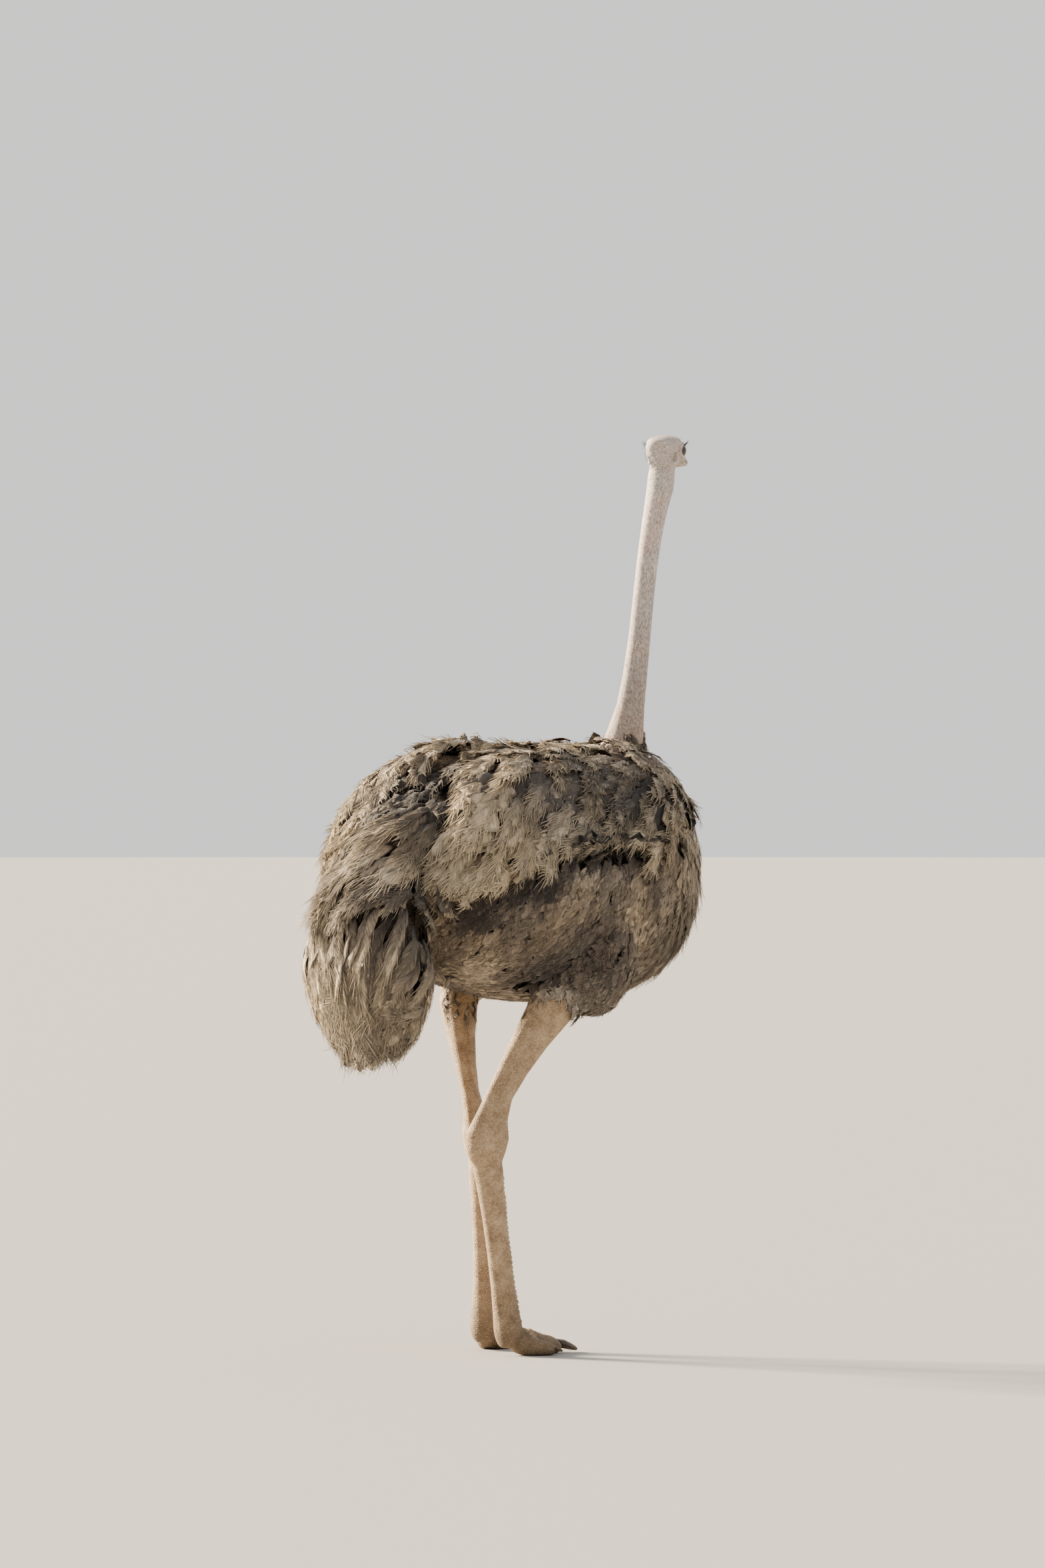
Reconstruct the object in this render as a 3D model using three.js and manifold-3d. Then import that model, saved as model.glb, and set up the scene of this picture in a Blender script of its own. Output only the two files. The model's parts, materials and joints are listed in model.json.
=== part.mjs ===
// A hen ostrich at life size, standing still with her feet close together.
// Units are millimetres and +Z is up. She faces -Y, so +X is her left side.
// Every feathered piece is drawn out to the tips of its feathers.
import * as THREE from "three";
import { mergeVertices } from "three/addons/utils/BufferGeometryUtils.js";
import Module from "manifold-3d";

const wasm = await Module();
wasm.setup();

// ---------------------------------------------------------------- driving dimensions

const PARTING = 0.4; // clear gap between neighbouring pieces
const BODY_HEIGHT = 1045; // the trunk's middle above the floor
const TRUNK_FRONT = 492; // breast feathers ahead of the origin
const TRUNK_REAR = 432; // rump feathers behind it
const TRUNK_HALF_WIDTH = 270;
const TRUNK_TOP = 252; // back feathers above the middle
const TRUNK_BOTTOM = 278; // belly feathers below it
const WING_TROUGH = 34; // half the gap between the wings along the back
const TAIL_HALF_WIDTH = 185;
const TAIL_TIP_HEIGHT = 612;
const NECK_HALF_WIDTH = 25;
const EYE_HEIGHT = 1966;
const HEAD_FORWARD = 489; // the eyes ahead of the origin
const HEAD_TURN = 27; // degrees that she looks to the left of her body's line
const EYE_RADIUS = 22;
const BILL_START = 56; // from the eyes forward to the edge of the horn
const BILL_TIP = 138; // from the eyes forward to the tip
const MOUTH_GAPE = 1.2; // clear height between the closed halves of the bill
const HOCK_HEIGHT = 447;
const LEG_TURN = 22; // degrees that each leg is turned outwards
const SHANK_HALF_DEPTH = 30; // just above the hock
const TARSUS_HALF_DEPTH = 27;
const TOE_SINK = 3; // how far a toe's round underside is pressed flat

const HUGE = 4000; // larger than the bird, for cutting blocks
const LEFT = new THREE.Vector3(1, 0, 0);
const UP = new THREE.Vector3(0, 0, 1);

// ---------------------------------------------------------------- shape tools

/** A point given as distances forward, to her left and up. */
const at = (forward, left, up) => new THREE.Vector3(left, -forward, up);

/** One ring of a limb: its middle, half width, and reach over and under the middle. */
const ring = (middle, wide, over, under = over) => ({ middle, reach: new THREE.Vector3(wide, over, under) });

/** Raises a value from -1 to 1 to a power and keeps its sign. */
const signedPower = (value, power) => Math.sign(value) * Math.abs(value) ** power;

/** A three.js geometry as a manifold-3d solid. */
function solidFrom(geometry) {
  geometry.deleteAttribute("normal");
  geometry.deleteAttribute("uv");
  const merged = mergeVertices(geometry, 1e-3);
  const vertProperties = merged.attributes.position.array;
  return new wasm.Manifold(
    new wasm.Mesh({ numProp: 3, vertProperties, triVerts: new Uint32Array(merged.index.array) }),
  );
}

/** A manifold-3d solid as a three.js geometry. */
function geometryFrom(solid) {
  const { vertProperties, triVerts } = solid.getMesh();
  const geometry = new THREE.BufferGeometry();
  geometry.setAttribute("position", new THREE.BufferAttribute(new Float32Array(vertProperties), 3));
  geometry.setIndex(new THREE.BufferAttribute(new Uint32Array(triVerts), 1));
  geometry.computeVertexNormals();
  return geometry;
}

/**
 * A closed limb: a sphere drawn out along a smooth line through its rings, seen with the
 * left side to the left when looking along it. blunt is 2 for ends like an ellipsoid's and
 * more for fuller ones, and boxy is the same for the section. turn is how many degrees the
 * section is turned to her left. grow swells the whole limb, and frame places it.
 */
function limb(rings, { around = 12, along = 12, blunt = 4, boxy = 2, turn = 0, grow = 0, frame = null }) {
  const sideways = LEFT.clone().applyAxisAngle(UP, THREE.MathUtils.degToRad(turn));
  const line = new THREE.CatmullRomCurve3(rings.map((r) => r.middle));
  const reaches = new THREE.CatmullRomCurve3(rings.map((r) => r.reach));
  const geometry = new THREE.SphereGeometry(1, around, along);
  const position = geometry.attributes.position;
  for (let i = 0; i < position.count; i++) {
    const row = Math.floor(i / (around + 1));
    const angle = (2 * Math.PI * (i % (around + 1))) / around;
    const share = (1 - Math.cos((Math.PI * row) / along)) / 2;
    const cap = Math.max(0, 1 - Math.abs(2 * share - 1) ** blunt) ** (1 / blunt);
    const ahead = line.getTangent(share);
    const across = sideways.clone().addScaledVector(ahead, -sideways.dot(ahead)).normalize();
    const over = new THREE.Vector3().crossVectors(ahead, across);
    const reach = reaches.getPoint(share).addScalar(grow);
    const upright = signedPower(Math.sin(angle), 2 / boxy);
    const point = line.getPoint(share);
    point.addScaledVector(ahead, grow * (2 * share - 1));
    point.addScaledVector(across, signedPower(-Math.cos(angle), 2 / boxy) * reach.x * cap);
    point.addScaledVector(over, upright * (upright > 0 ? reach.y : reach.z) * cap);
    position.setXYZ(i, point.x, point.y, point.z);
  }
  return solidFrom(frame ? geometry.applyMatrix4(frame) : geometry);
}

/** A ball, drawn out by its three half sizes to the left, forward and up. */
function ball(middle, halfSizes, { around = 12, along = 8, grow = 0, frame = null }) {
  const geometry = new THREE.SphereGeometry(1, around, along);
  geometry.scale(...halfSizes.map((half) => half + grow));
  geometry.translate(middle.x, middle.y, middle.z);
  return solidFrom(frame ? geometry.applyMatrix4(frame) : geometry);
}

/** Everything between two heights, as a cutting block. */
function slab(low, high) {
  return solidFrom(new THREE.BoxGeometry(HUGE, HUGE, high - low).translate(0, 0, (low + high) / 2));
}

/** A smooth side-view outline of [forward, up] points, as a block between two distances left. */
function sideProfile(points, leftFrom, leftTo) {
  const rim = new THREE.CatmullRomCurve3(points.map(([f, u]) => new THREE.Vector3(f, u, 0)), true);
  const outline = new THREE.Shape(rim.getPoints(3 * points.length).slice(1));
  const block = new THREE.ExtrudeGeometry(outline, { depth: leftTo - leftFrom, bevelEnabled: false });
  block.translate(0, 0, -leftTo);
  const upright = new THREE.Matrix4().makeBasis(at(1, 0, 0), at(0, 0, 1), at(0, -1, 0));
  return solidFrom(block.applyMatrix4(upright));
}

/** The largest of a solid's separate bodies. */
function largest(solid) {
  return solid.decompose().reduce((best, body) => (body.volume() > best.volume() ? body : best));
}

// ---------------------------------------------------------------- finishes

const finish = (color, roughness) => new THREE.MeshStandardMaterial({ color, roughness, metalness: 0 });

const plumage = finish(0x6e5c4b, 0.95); // soft grey-brown body feathers
const paleQuills = finish(0xa89886, 0.95); // the paler tail plumes
const bareSkin = finish(0xa08878, 0.7); // pinkish grey thighs and shanks
const downySkin = finish(0x9a9088, 0.85); // neck and head under short down
const scales = finish(0x8e7a69, 0.6); // tarsus and toes
const horn = finish(0x7d6f5f, 0.45);
const eye = finish(0x24160d, 0.08);

// ---------------------------------------------------------------- assembly

const bird = new THREE.Group();
const cutters = []; // each finished piece, swollen by the parting gap

/**
 * Adds a named piece to a group. build(grow) makes its whole solid, swollen by grow. What
 * the earlier pieces already fill, with the parting gap round it, is cut away.
 */
function piece(group, name, material, build) {
  const kept = largest(cutters.reduce((solid, cutter) => solid.subtract(cutter), build(0)));
  const mesh = new THREE.Mesh(geometryFrom(kept), material);
  mesh.name = name;
  group.add(mesh);
  cutters.push(build(PARTING));
}

/** A group inside the bird. */
function subgroup() {
  const group = new THREE.Group();
  bird.add(group);
  return group;
}

// ---------------------------------------------------------------- trunk and wings

/** The trunk's rings from rump to breast, swollen by the [side, top] lifts of a wing on it. */
function trunkRings(lifts = Array(5).fill([0, 0])) {
  const girths = [
    // forward, up from the middle, and the shares of full width, top and bottom
    [-TRUNK_REAR, 50, 0.82, 0.8, 0.88],
    [-200, 12, 1, 0.95, 0.99],
    [40, 0, 1.01, 1, 1.04],
    [290, 0, 0.98, 1.02, 1.06],
    [TRUNK_FRONT, 4, 0.82, 0.84, 1.08],
  ];
  return girths.map(([forward, up, wide, top, bottom], i) => {
    const [sideLift, topLift] = lifts[i];
    const middle = at(forward, 0, BODY_HEIGHT + up);
    const under = bottom * TRUNK_BOTTOM + sideLift;
    return ring(middle, wide * TRUNK_HALF_WIDTH + sideLift, top * TRUNK_TOP + topLift, under);
  });
}

const TRUNK_MESH = { around: 26, along: 18, blunt: 2.4, boxy: 2.2 };

piece(bird, "trunk", plumage, (grow) => limb(trunkRings(), { ...TRUNK_MESH, grow }));

/** A folded wing: a shell that lies on the trunk inside a drooping side-view outline. */
function wing(side, lifts) {
  const outline = [
    [305, 1262],
    [200, 1400],
    [-130, 1400],
    [-245, 1290],
    [-325, 1185],
    [-395, 1060],
    [-372, 990],
    [-250, 1048],
    [-40, 1100],
    [180, 1098],
    [318, 1150],
  ];
  return (grow) => {
    const [near, far] = [WING_TROUGH - grow, 400];
    const block = side > 0 ? sideProfile(outline, near, far) : sideProfile(outline, -far, -near);
    return limb(trunkRings(lifts), { ...TRUNK_MESH, grow }).intersect(block);
  };
}

// The left wing stands off a little further at the rump than the right one.
piece(bird, "wing_right", plumage, wing(-1, [[36, 20], [34, 40], [34, 16], [34, 52], [16, 10]]));
piece(bird, "wing_left", plumage, wing(1, [[100, 60], [74, 64], [34, 14], [34, 52], [16, 10]]));

// ---------------------------------------------------------------- tail

piece(bird, "tail", paleQuills, (grow) => {
  const rings = [
    ring(at(-300, 0, 1180), 70, 60),
    ring(at(-392, 0, 1105), 0.5 * TAIL_HALF_WIDTH, 80),
    ring(at(-436, 0, 985), 0.72 * TAIL_HALF_WIDTH, 88),
    ring(at(-455, 0, 850), TAIL_HALF_WIDTH, 92),
    ring(at(-450, 0, 720), 0.8 * TAIL_HALF_WIDTH, 74),
    ring(at(-452, 0, TAIL_TIP_HEIGHT), 0.44 * TAIL_HALF_WIDTH, 48),
  ];
  return limb(rings, { around: 18, along: 12, blunt: 3.2, grow });
});

// ---------------------------------------------------------------- head

const headFrame = new THREE.Matrix4()
  .makeRotationZ(THREE.MathUtils.degToRad(HEAD_TURN))
  .setPosition(at(HEAD_FORWARD, 0, EYE_HEIGHT));

const head = subgroup();

/** Half width, height over and depth under the middle line of the bill at one ring. */
const billRings = () => [
  ring(at(BILL_START - 34, 0, -16), 31, 20, 19),
  ring(at(BILL_START, 0, -17), 28.5, 18, 17),
  ring(at(BILL_START + 30, 0, -20), 23, 13, 13),
  ring(at(BILL_TIP - 20, 0, -22.5), 18.5, 11, 9.5),
  ring(at(BILL_TIP, 0, -25), 14, 9, 7),
];

const EYE_SPREAD = 23.5; // each eye's middle to the side of the head's middle

for (const [name, side] of [["eye_left", 1], ["eye_right", -1]]) {
  const reach = [EYE_RADIUS, EYE_RADIUS, EYE_RADIUS];
  piece(head, name, eye, (grow) => ball(at(0, EYE_SPREAD * side, 0), reach, { grow, frame: headFrame }));
}

/** Half of the horny bill: the side of the closed mouth that it lies on. */
function billHalf(low, high) {
  return (grow) => {
    const whole = limb(billRings(), { around: 16, along: 11, blunt: 5, boxy: 2.3, grow, frame: headFrame });
    const ahead = new THREE.BoxGeometry(200, 200, 200).translate(0, -BILL_START - 100 + grow, 0);
    const lips = slab(EYE_HEIGHT + low - grow, EYE_HEIGHT + high + grow);
    return whole.intersect(solidFrom(ahead.applyMatrix4(headFrame))).intersect(lips);
  };
}

const MOUTH_LINE = -22; // below the eyes

/** The two long nostrils, as cutters. */
function nostrils(solid) {
  const shape = { around: 8, along: 5, frame: headFrame };
  const slots = [-1, 1].map((side) => ball(at(BILL_START + 24, 11 * side, -8.5), [2.4, 8, 2.2], shape));
  return slots.reduce((left, slot) => left.subtract(slot), solid);
}

piece(head, "bill_upper", horn, (grow) => nostrils(billHalf(MOUTH_LINE + MOUTH_GAPE / 2, 100)(grow)));
piece(head, "bill_lower", horn, billHalf(-100, MOUTH_LINE - MOUTH_GAPE / 2));

piece(head, "head", downySkin, (grow) => {
  const rings = [
    ring(at(-68, 0, 0), 29, 28, 42),
    ring(at(-44, 0, 5), 38, 35, 54),
    ring(at(-14, 0, 7), 43.5, 37, 55),
    ring(at(16, 0, 5), 43, 35, 49),
    ring(at(40, 0, -5), 36.5, 28, 35),
    ring(at(BILL_START + 6, 0, -16), 30.5, 20.5, 21),
  ];
  return limb(rings, { around: 20, along: 13, blunt: 5, boxy: 2.3, grow, frame: headFrame });
});

// ---------------------------------------------------------------- neck

/** The whole neck from inside the skull down into the breast. */
function wholeNeck(grow) {
  const wide = NECK_HALF_WIDTH;
  const rings = [
    ring(at(476, 0, 1960), 1.2 * wide, 38, 28),
    ring(at(468, 0, 1895), 1.26 * wide, 42, 28),
    ring(at(455, 0, 1840), 1.14 * wide, 31, 27),
    ring(at(434, 0, 1750), 1.02 * wide, 28, 27),
    ring(at(415, 0, 1640), wide, 28, 27),
    ring(at(393, 0, 1500), 1.06 * wide, 31, 29),
    ring(at(366, 0, 1375), 1.34 * wide, 39, 38),
    ring(at(330, 0, 1260), 2.5 * wide, 66, 66),
    ring(at(288, 0, 1150), 3.5 * wide, 92, 90),
  ];
  return limb(rings, { around: 14, along: 20, blunt: 8, grow });
}

const neck = subgroup();
const NECK_CUTS = [1150, 1440, 1690, 1950];
["neck_lower", "neck_middle", "neck_upper"].forEach((name, i) => {
  const length = (grow) => slab(NECK_CUTS[i] - grow, NECK_CUTS[i + 1] + grow);
  piece(neck, name, downySkin, (grow) => wholeNeck(grow).intersect(length(grow)));
});

// ---------------------------------------------------------------- legs

/**
 * One leg. side is 1 for her left, knee, calf, shin, ankle and hock are points down the shank,
 * and foot says where the toes' root is and how many degrees they turn outwards.
 */
function leg(name, side, { knee, calf, shin, ankle, hock, foot }) {
  const group = subgroup();
  piece(group, `thigh_${name}`, plumage, (grow) => {
    const rings = [
      ring(at(-knee.y - 45, 0.72 * knee.x, knee.z + 150), 92, 100),
      ring(at(-knee.y - 5, 0.93 * knee.x, knee.z + 45), 106, 118),
      ring(at(-knee.y - 40, 0.95 * knee.x, knee.z - 135), 74, 84),
    ];
    return limb(rings, { around: 16, along: 10, blunt: 3, grow });
  });

  piece(group, `shank_${name}`, bareSkin, (grow) => {
    const rings = [
      ring(knee, 56, 74, 70),
      ring(calf, 43, 54, 56),
      ring(shin, 0.84 * SHANK_HALF_DEPTH, 1.22 * SHANK_HALF_DEPTH),
      ring(ankle, 0.62 * SHANK_HALF_DEPTH, 1.04 * SHANK_HALF_DEPTH),
      ring(hock.clone().lerp(ankle, 0.24), 1.1 * SHANK_HALF_DEPTH, 48, 56),
      ring(at(-hock.y, hock.x, hock.z - 38), SHANK_HALF_DEPTH, 42, 50),
    ];
    return limb(rings, { around: 12, along: 13, blunt: 5, turn: side * LEG_TURN, grow });
  });

  const root = at(foot.forward, foot.left, 52);
  piece(group, `tarsus_${name}`, scales, (grow) => {
    const rings = [
      ring(at(-hock.y + 2, hock.x, hock.z - 6), 32, 40, 44),
      ring(hock.clone().lerp(root, 0.2), 0.98 * TARSUS_HALF_DEPTH, 31, 33),
      ring(hock.clone().lerp(root, 0.5), 0.8 * TARSUS_HALF_DEPTH, TARSUS_HALF_DEPTH),
      ring(hock.clone().lerp(root, 0.8), 0.88 * TARSUS_HALF_DEPTH, 28),
      ring(root, 34, 34, 32),
      ring(at(foot.forward + 4, foot.left, 16), 29, 30, 26),
    ];
    const whole = limb(rings, { around: 12, along: 13, blunt: 6, turn: side * LEG_TURN, grow });
    return whole.subtract(slab(-HUGE, TOE_SINK));
  });

  toes(group, name, side, foot);
}

/** The big inner toe and the small outer one, each with its nail, pressed flat on the floor. */
function toes(group, name, side, foot) {
  const turned = (degrees) =>
    new THREE.Matrix4()
      .makeRotationZ(THREE.MathUtils.degToRad(side * degrees))
      .setPosition(at(foot.forward, foot.left, -TOE_SINK));
  const floor = slab(-HUGE, 0);

  const big = turned(foot.turn);
  piece(group, `toe_big_${name}`, scales, (grow) => {
    const rings = [
      ring(at(2, 0, 48), 26, 27, 30),
      ring(at(42, 0, 34), 29, 27, 34),
      ring(at(84, 0, 25), 25, 21, 25),
      ring(at(118, 0, 20), 24, 19, 20),
      ring(at(142, 0, 16), 19, 14, 16),
    ];
    return limb(rings, { around: 12, along: 11, blunt: 5, grow, frame: big }).subtract(floor);
  });
  piece(group, `claw_big_${name}`, horn, (grow) => {
    const rings = [
      ring(at(122, 0, 24), 11, 11, 9),
      ring(at(146, 0, 22.5), 13, 11, 9),
      ring(at(172, 0, 15.5), 10, 8, 7),
      ring(at(192, 0, 9), 6.5, 4.5, 4),
    ];
    return limb(rings, { around: 10, along: 7, blunt: 4, grow, frame: big });
  });

  const small = turned(foot.turn + 33);
  piece(group, `toe_small_${name}`, scales, (grow) => {
    const rings = [
      ring(at(4, 0, 40), 20, 22, 28),
      ring(at(46, 0, 25), 19, 19, 25),
      ring(at(80, 0, 18), 17.5, 16, 18),
      ring(at(104, 0, 14), 14, 12, 14),
    ];
    return limb(rings, { around: 10, along: 9, blunt: 4, grow, frame: small }).subtract(floor);
  });
  piece(group, `claw_small_${name}`, horn, (grow) => {
    const rings = [ring(at(92, 0, 20), 6, 5), ring(at(106, 0, 17.5), 6, 5), ring(at(119, 0, 12), 3.5, 3)];
    return limb(rings, { around: 8, along: 6, blunt: 3, grow, frame: small });
  });
}

leg("right", -1, {
  knee: at(75, -170, 868),
  calf: at(-38, -150, 755),
  shin: at(-122, -130, 645),
  ankle: at(-182, -117, 548),
  hock: at(-200, -103, HOCK_HEIGHT),
  foot: { forward: -122, left: -94, turn: 8 },
});
leg("left", 1, {
  knee: at(62, 196, 905),
  calf: at(-4, 165, 755),
  shin: at(-36, 118, 640),
  ankle: at(-44, 88, 546),
  hock: at(-44, 62, HOCK_HEIGHT),
  foot: { forward: -28, left: 64, turn: 10 },
});

// ---------------------------------------------------------------- origin

// The origin is on the floor under the middle of the whole bird's outline.
const bounds = new THREE.Box3().setFromObject(bird);
const middle = bounds.getCenter(new THREE.Vector3());
bird.position.set(-middle.x, -middle.y, -bounds.min.z);

export default bird;
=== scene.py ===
# %% [markdown]
# # A hen ostrich at life size
#
# The bird stands still with her neck up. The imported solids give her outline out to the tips
# of her feathers. This script puts the living surface into that outline: one bare skin, two
# wet eyes, a horny bill, nails, scaly feet, short down on the neck and head, and loose
# plumes over the body. Everything is in metres in the frame of the solids, +Z up, and she
# faces -Y, so +X is her left side.

# %% Tools and the fixed frame
import json
import math
from contextlib import contextmanager

import bmesh
import bpy
import numpy as np
from mathutils import Matrix, Vector
from mathutils.bvhtree import BVHTree
from mathutils.kdtree import KDTree

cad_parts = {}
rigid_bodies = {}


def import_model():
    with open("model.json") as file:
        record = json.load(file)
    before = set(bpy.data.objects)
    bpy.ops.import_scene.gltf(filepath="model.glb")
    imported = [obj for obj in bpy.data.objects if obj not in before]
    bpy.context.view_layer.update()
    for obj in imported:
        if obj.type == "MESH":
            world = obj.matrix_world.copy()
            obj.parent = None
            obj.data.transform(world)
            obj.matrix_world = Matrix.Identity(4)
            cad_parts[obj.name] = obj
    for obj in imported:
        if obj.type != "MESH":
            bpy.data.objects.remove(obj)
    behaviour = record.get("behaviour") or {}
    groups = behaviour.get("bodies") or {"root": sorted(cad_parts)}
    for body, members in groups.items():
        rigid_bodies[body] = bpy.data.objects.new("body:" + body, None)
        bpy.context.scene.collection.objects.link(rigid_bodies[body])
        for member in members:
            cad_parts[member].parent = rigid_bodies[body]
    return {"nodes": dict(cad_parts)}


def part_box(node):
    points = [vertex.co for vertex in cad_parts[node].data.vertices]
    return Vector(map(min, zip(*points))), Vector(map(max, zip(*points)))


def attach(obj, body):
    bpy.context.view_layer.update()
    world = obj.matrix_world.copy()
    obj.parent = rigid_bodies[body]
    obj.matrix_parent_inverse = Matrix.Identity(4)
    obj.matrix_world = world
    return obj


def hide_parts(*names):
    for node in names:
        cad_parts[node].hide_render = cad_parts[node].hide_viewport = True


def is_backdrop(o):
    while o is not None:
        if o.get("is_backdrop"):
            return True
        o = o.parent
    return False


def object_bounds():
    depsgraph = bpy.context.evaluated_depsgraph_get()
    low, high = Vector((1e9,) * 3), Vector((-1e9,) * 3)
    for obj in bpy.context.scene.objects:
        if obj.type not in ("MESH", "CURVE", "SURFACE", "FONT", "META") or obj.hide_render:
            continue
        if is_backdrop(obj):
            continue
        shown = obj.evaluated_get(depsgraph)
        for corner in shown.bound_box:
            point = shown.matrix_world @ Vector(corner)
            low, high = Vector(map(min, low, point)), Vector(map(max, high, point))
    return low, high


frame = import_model()
cad_low, cad_high = (np.array(corner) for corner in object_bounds())
MM = 0.001
SIDES = {"left": 1, "right": -1}
print("solids stand in a box of", np.round(cad_high - cad_low, 3))

# %% [markdown]
# ## Reading the solids
#
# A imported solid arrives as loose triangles. For measuring and for building on it, each is
# copied with its doubled points merged. The copies are swollen a little before they are
# fused, because the solids stand a hair apart and the gaps would stay in the fused shape.

# %% Merged copies of the solids
def merged(name):
    """A bmesh copy of a solid with its loose triangles joined."""
    copy = bmesh.new()
    copy.from_mesh(frame["nodes"][name].data)
    bmesh.ops.remove_doubles(copy, verts=copy.verts, dist=1e-6)
    copy.normal_update()
    return copy


def new_object(name, mesh):
    """A new object at the origin that shows a mesh."""
    piece = bpy.data.objects.new(name, mesh)
    bpy.context.scene.collection.objects.link(piece)
    return piece


def together(names, swell):
    """One mesh of several solids, each swollen by a distance."""
    whole = bpy.data.meshes.new("together")
    with opened(whole) as total:
        for name in names:
            copy = merged(name)
            for vert in copy.verts:
                vert.co += vert.normal * swell
            mesh = bpy.data.meshes.new("copy")
            copy.to_mesh(mesh)
            copy.free()
            total.from_mesh(mesh)
            bpy.data.meshes.remove(mesh)
    return whole


def box_middle(name):
    """The middle of a solid's box, and half its size."""
    low, high = (np.array(corner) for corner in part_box(name))
    return (low + high) / 2, (high - low) / 2


@contextmanager
def opened(mesh):
    """A mesh opened for editing, which is written back afterwards."""
    work = bmesh.new()
    work.from_mesh(mesh)
    yield work
    work.to_mesh(mesh)
    work.free()


# %% Small mesh tools on arrays
def points_of(mesh):
    """The mesh's points as an array."""
    co = np.zeros(3 * len(mesh.vertices), np.float32)
    mesh.vertices.foreach_get("co", co)
    return co.reshape(-1, 3).astype(float)


def normals_of(mesh):
    """The mesh's point normals as an array."""
    normal = np.zeros(3 * len(mesh.vertices), np.float32)
    mesh.vertex_normals.foreach_get("vector", normal)
    return normal.reshape(-1, 3).astype(float)


def put_points(mesh, points):
    """Moves the mesh's points."""
    mesh.vertices.foreach_set("co", points.astype(np.float32).ravel())
    mesh.update()


def applied(mesh, *settings):
    """The mesh after modifiers, each given as its type and a dict of settings."""
    worker = new_object("worker", mesh)
    for kind, values in settings:
        modifier = worker.modifiers.new(kind, kind)
        for key, value in values.items():
            setattr(modifier, key, value)
    result = bpy.data.meshes.new_from_object(worker.evaluated_get(bpy.context.evaluated_depsgraph_get()))
    bpy.data.objects.remove(worker)
    bpy.data.meshes.remove(mesh)
    return result


def keep_on_points(mesh, name, kind, values):
    """Keeps a colour or a vector for each point with the mesh."""
    layers = mesh.color_attributes if kind == "COLOR" else mesh.attributes
    layer = layers.new(name, f"FLOAT_{kind}", "POINT")
    layer.data.foreach_set(kind.lower(), np.asarray(values, np.float32).ravel())


def fused(mesh, voxel):
    """The mesh rebuilt as one closed surface of small even faces."""
    return applied(mesh, ("REMESH", {"mode": "VOXEL", "voxel_size": voxel, "use_smooth_shade": True}))


def relaxed(mesh, rounds, amount=0.5, back=-0.53, weight=1.0):
    """Evens out the facets. Each inward round is followed by an outward one, so it keeps its size."""
    edges = np.zeros(2 * len(mesh.edges), np.int32)
    mesh.edges.foreach_get("vertices", edges)
    a, b = edges.reshape(-1, 2).T
    points = points_of(mesh)
    count = np.bincount(np.concatenate([a, b]), minlength=len(points))[:, None]
    weight = np.reshape(weight, (-1, 1)) if np.ndim(weight) else weight
    for step in [amount, back] * rounds:
        total = [
            np.bincount(a, points[b, k], len(points)) + np.bincount(b, points[a, k], len(points))
            for k in range(3)
        ]
        total = np.stack(total, 1)
        points = points + step * weight * (total / np.maximum(count, 1) - points)
    put_points(mesh, points)
    return mesh


def smoothstep(low, high, value):
    """0 below low, 1 above high and a smooth slope between."""
    share = np.clip((value - low) / (high - low), 0, 1)
    return share * share * (3 - 2 * share)


def root_finder(points):
    """A search tree over points."""
    finder = KDTree(len(points))
    for index, point in enumerate(points):
        finder.insert(point, index)
    finder.balance()
    return finder


def tree_of(mesh):
    """A search tree over a mesh's faces."""
    return BVHTree.FromPolygons([v.co for v in mesh.vertices], [tuple(p.vertices) for p in mesh.polygons])

# %% [markdown]
# ## The coat's outline and the skin under it
#
# Under the feathers a bird is much smaller than it looks. The outline of the feathered
# solids is kept as a guide for the plumes, and the skin is worked out from it: the fused
# outline is moved inwards in small steps and fused again after each, which eats it away
# evenly without the surface passing through itself, as one big step would.

# %% The outline of the feathered body
FEATHERED = ["trunk", "wing_right", "wing_left", "tail", "thigh_right", "thigh_left"]
SWELL = 1 * MM
trunk_mid, trunk_half = box_middle("trunk")
tail_mid, tail_half = box_middle("tail")
GUIDES = FEATHERED + ["shank_right", "shank_left", "neck_lower"]
outline = relaxed(fused(together(GUIDES, SWELL), 9 * MM), 3)
outline_tree = tree_of(outline)
print("outline:", len(outline.polygons), "faces")


# %% Balls that carry a limb on into the body
def with_balls(mesh, balls):
    """Adds balls, each a middle and a radius, to a mesh."""
    with opened(mesh) as total:
        for middle, radius in balls:
            place = Matrix.Translation(Vector(middle))
            bmesh.ops.create_icosphere(total, subdivisions=3, radius=radius, matrix=place)
    return mesh


neck_foot, neck_foot_half = box_middle("neck_lower")
neck_bend, _ = box_middle("neck_middle")
neck_line = neck_foot - neck_bend
neck_line /= np.linalg.norm(neck_line)
neck_root = neck_foot + [0, 0.3 * neck_foot_half[1], -0.7 * neck_foot_half[2]]
neck_sink = neck_line + [0, 0.3, 0]
neck_balls = [(neck_root + neck_sink * (0.01 + 0.045 * i), 0.056 + 0.012 * i) for i in range(4)]


def shank_balls(side):
    """Balls from the top of the shank on up into the thigh."""
    middle, half = box_middle(f"shank_{side}")
    thigh, _ = box_middle(f"thigh_{side}")
    top = np.array([0.35 * middle[0] + 0.65 * thigh[0], thigh[1] + 0.02, middle[2] + 0.86 * half[2]])
    return [(top + (thigh - top) * share, 0.05 + 0.02 * share) for share in (0, 0.4, 0.8)]


# %% The body's skin
COAT_DEPTH = 34 * MM


def near(points, middle, inner, outer):
    """1 close to a point, 0 far from it."""
    return 1 - smoothstep(inner, outer, np.linalg.norm(points - np.array(middle), axis=1))


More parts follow.
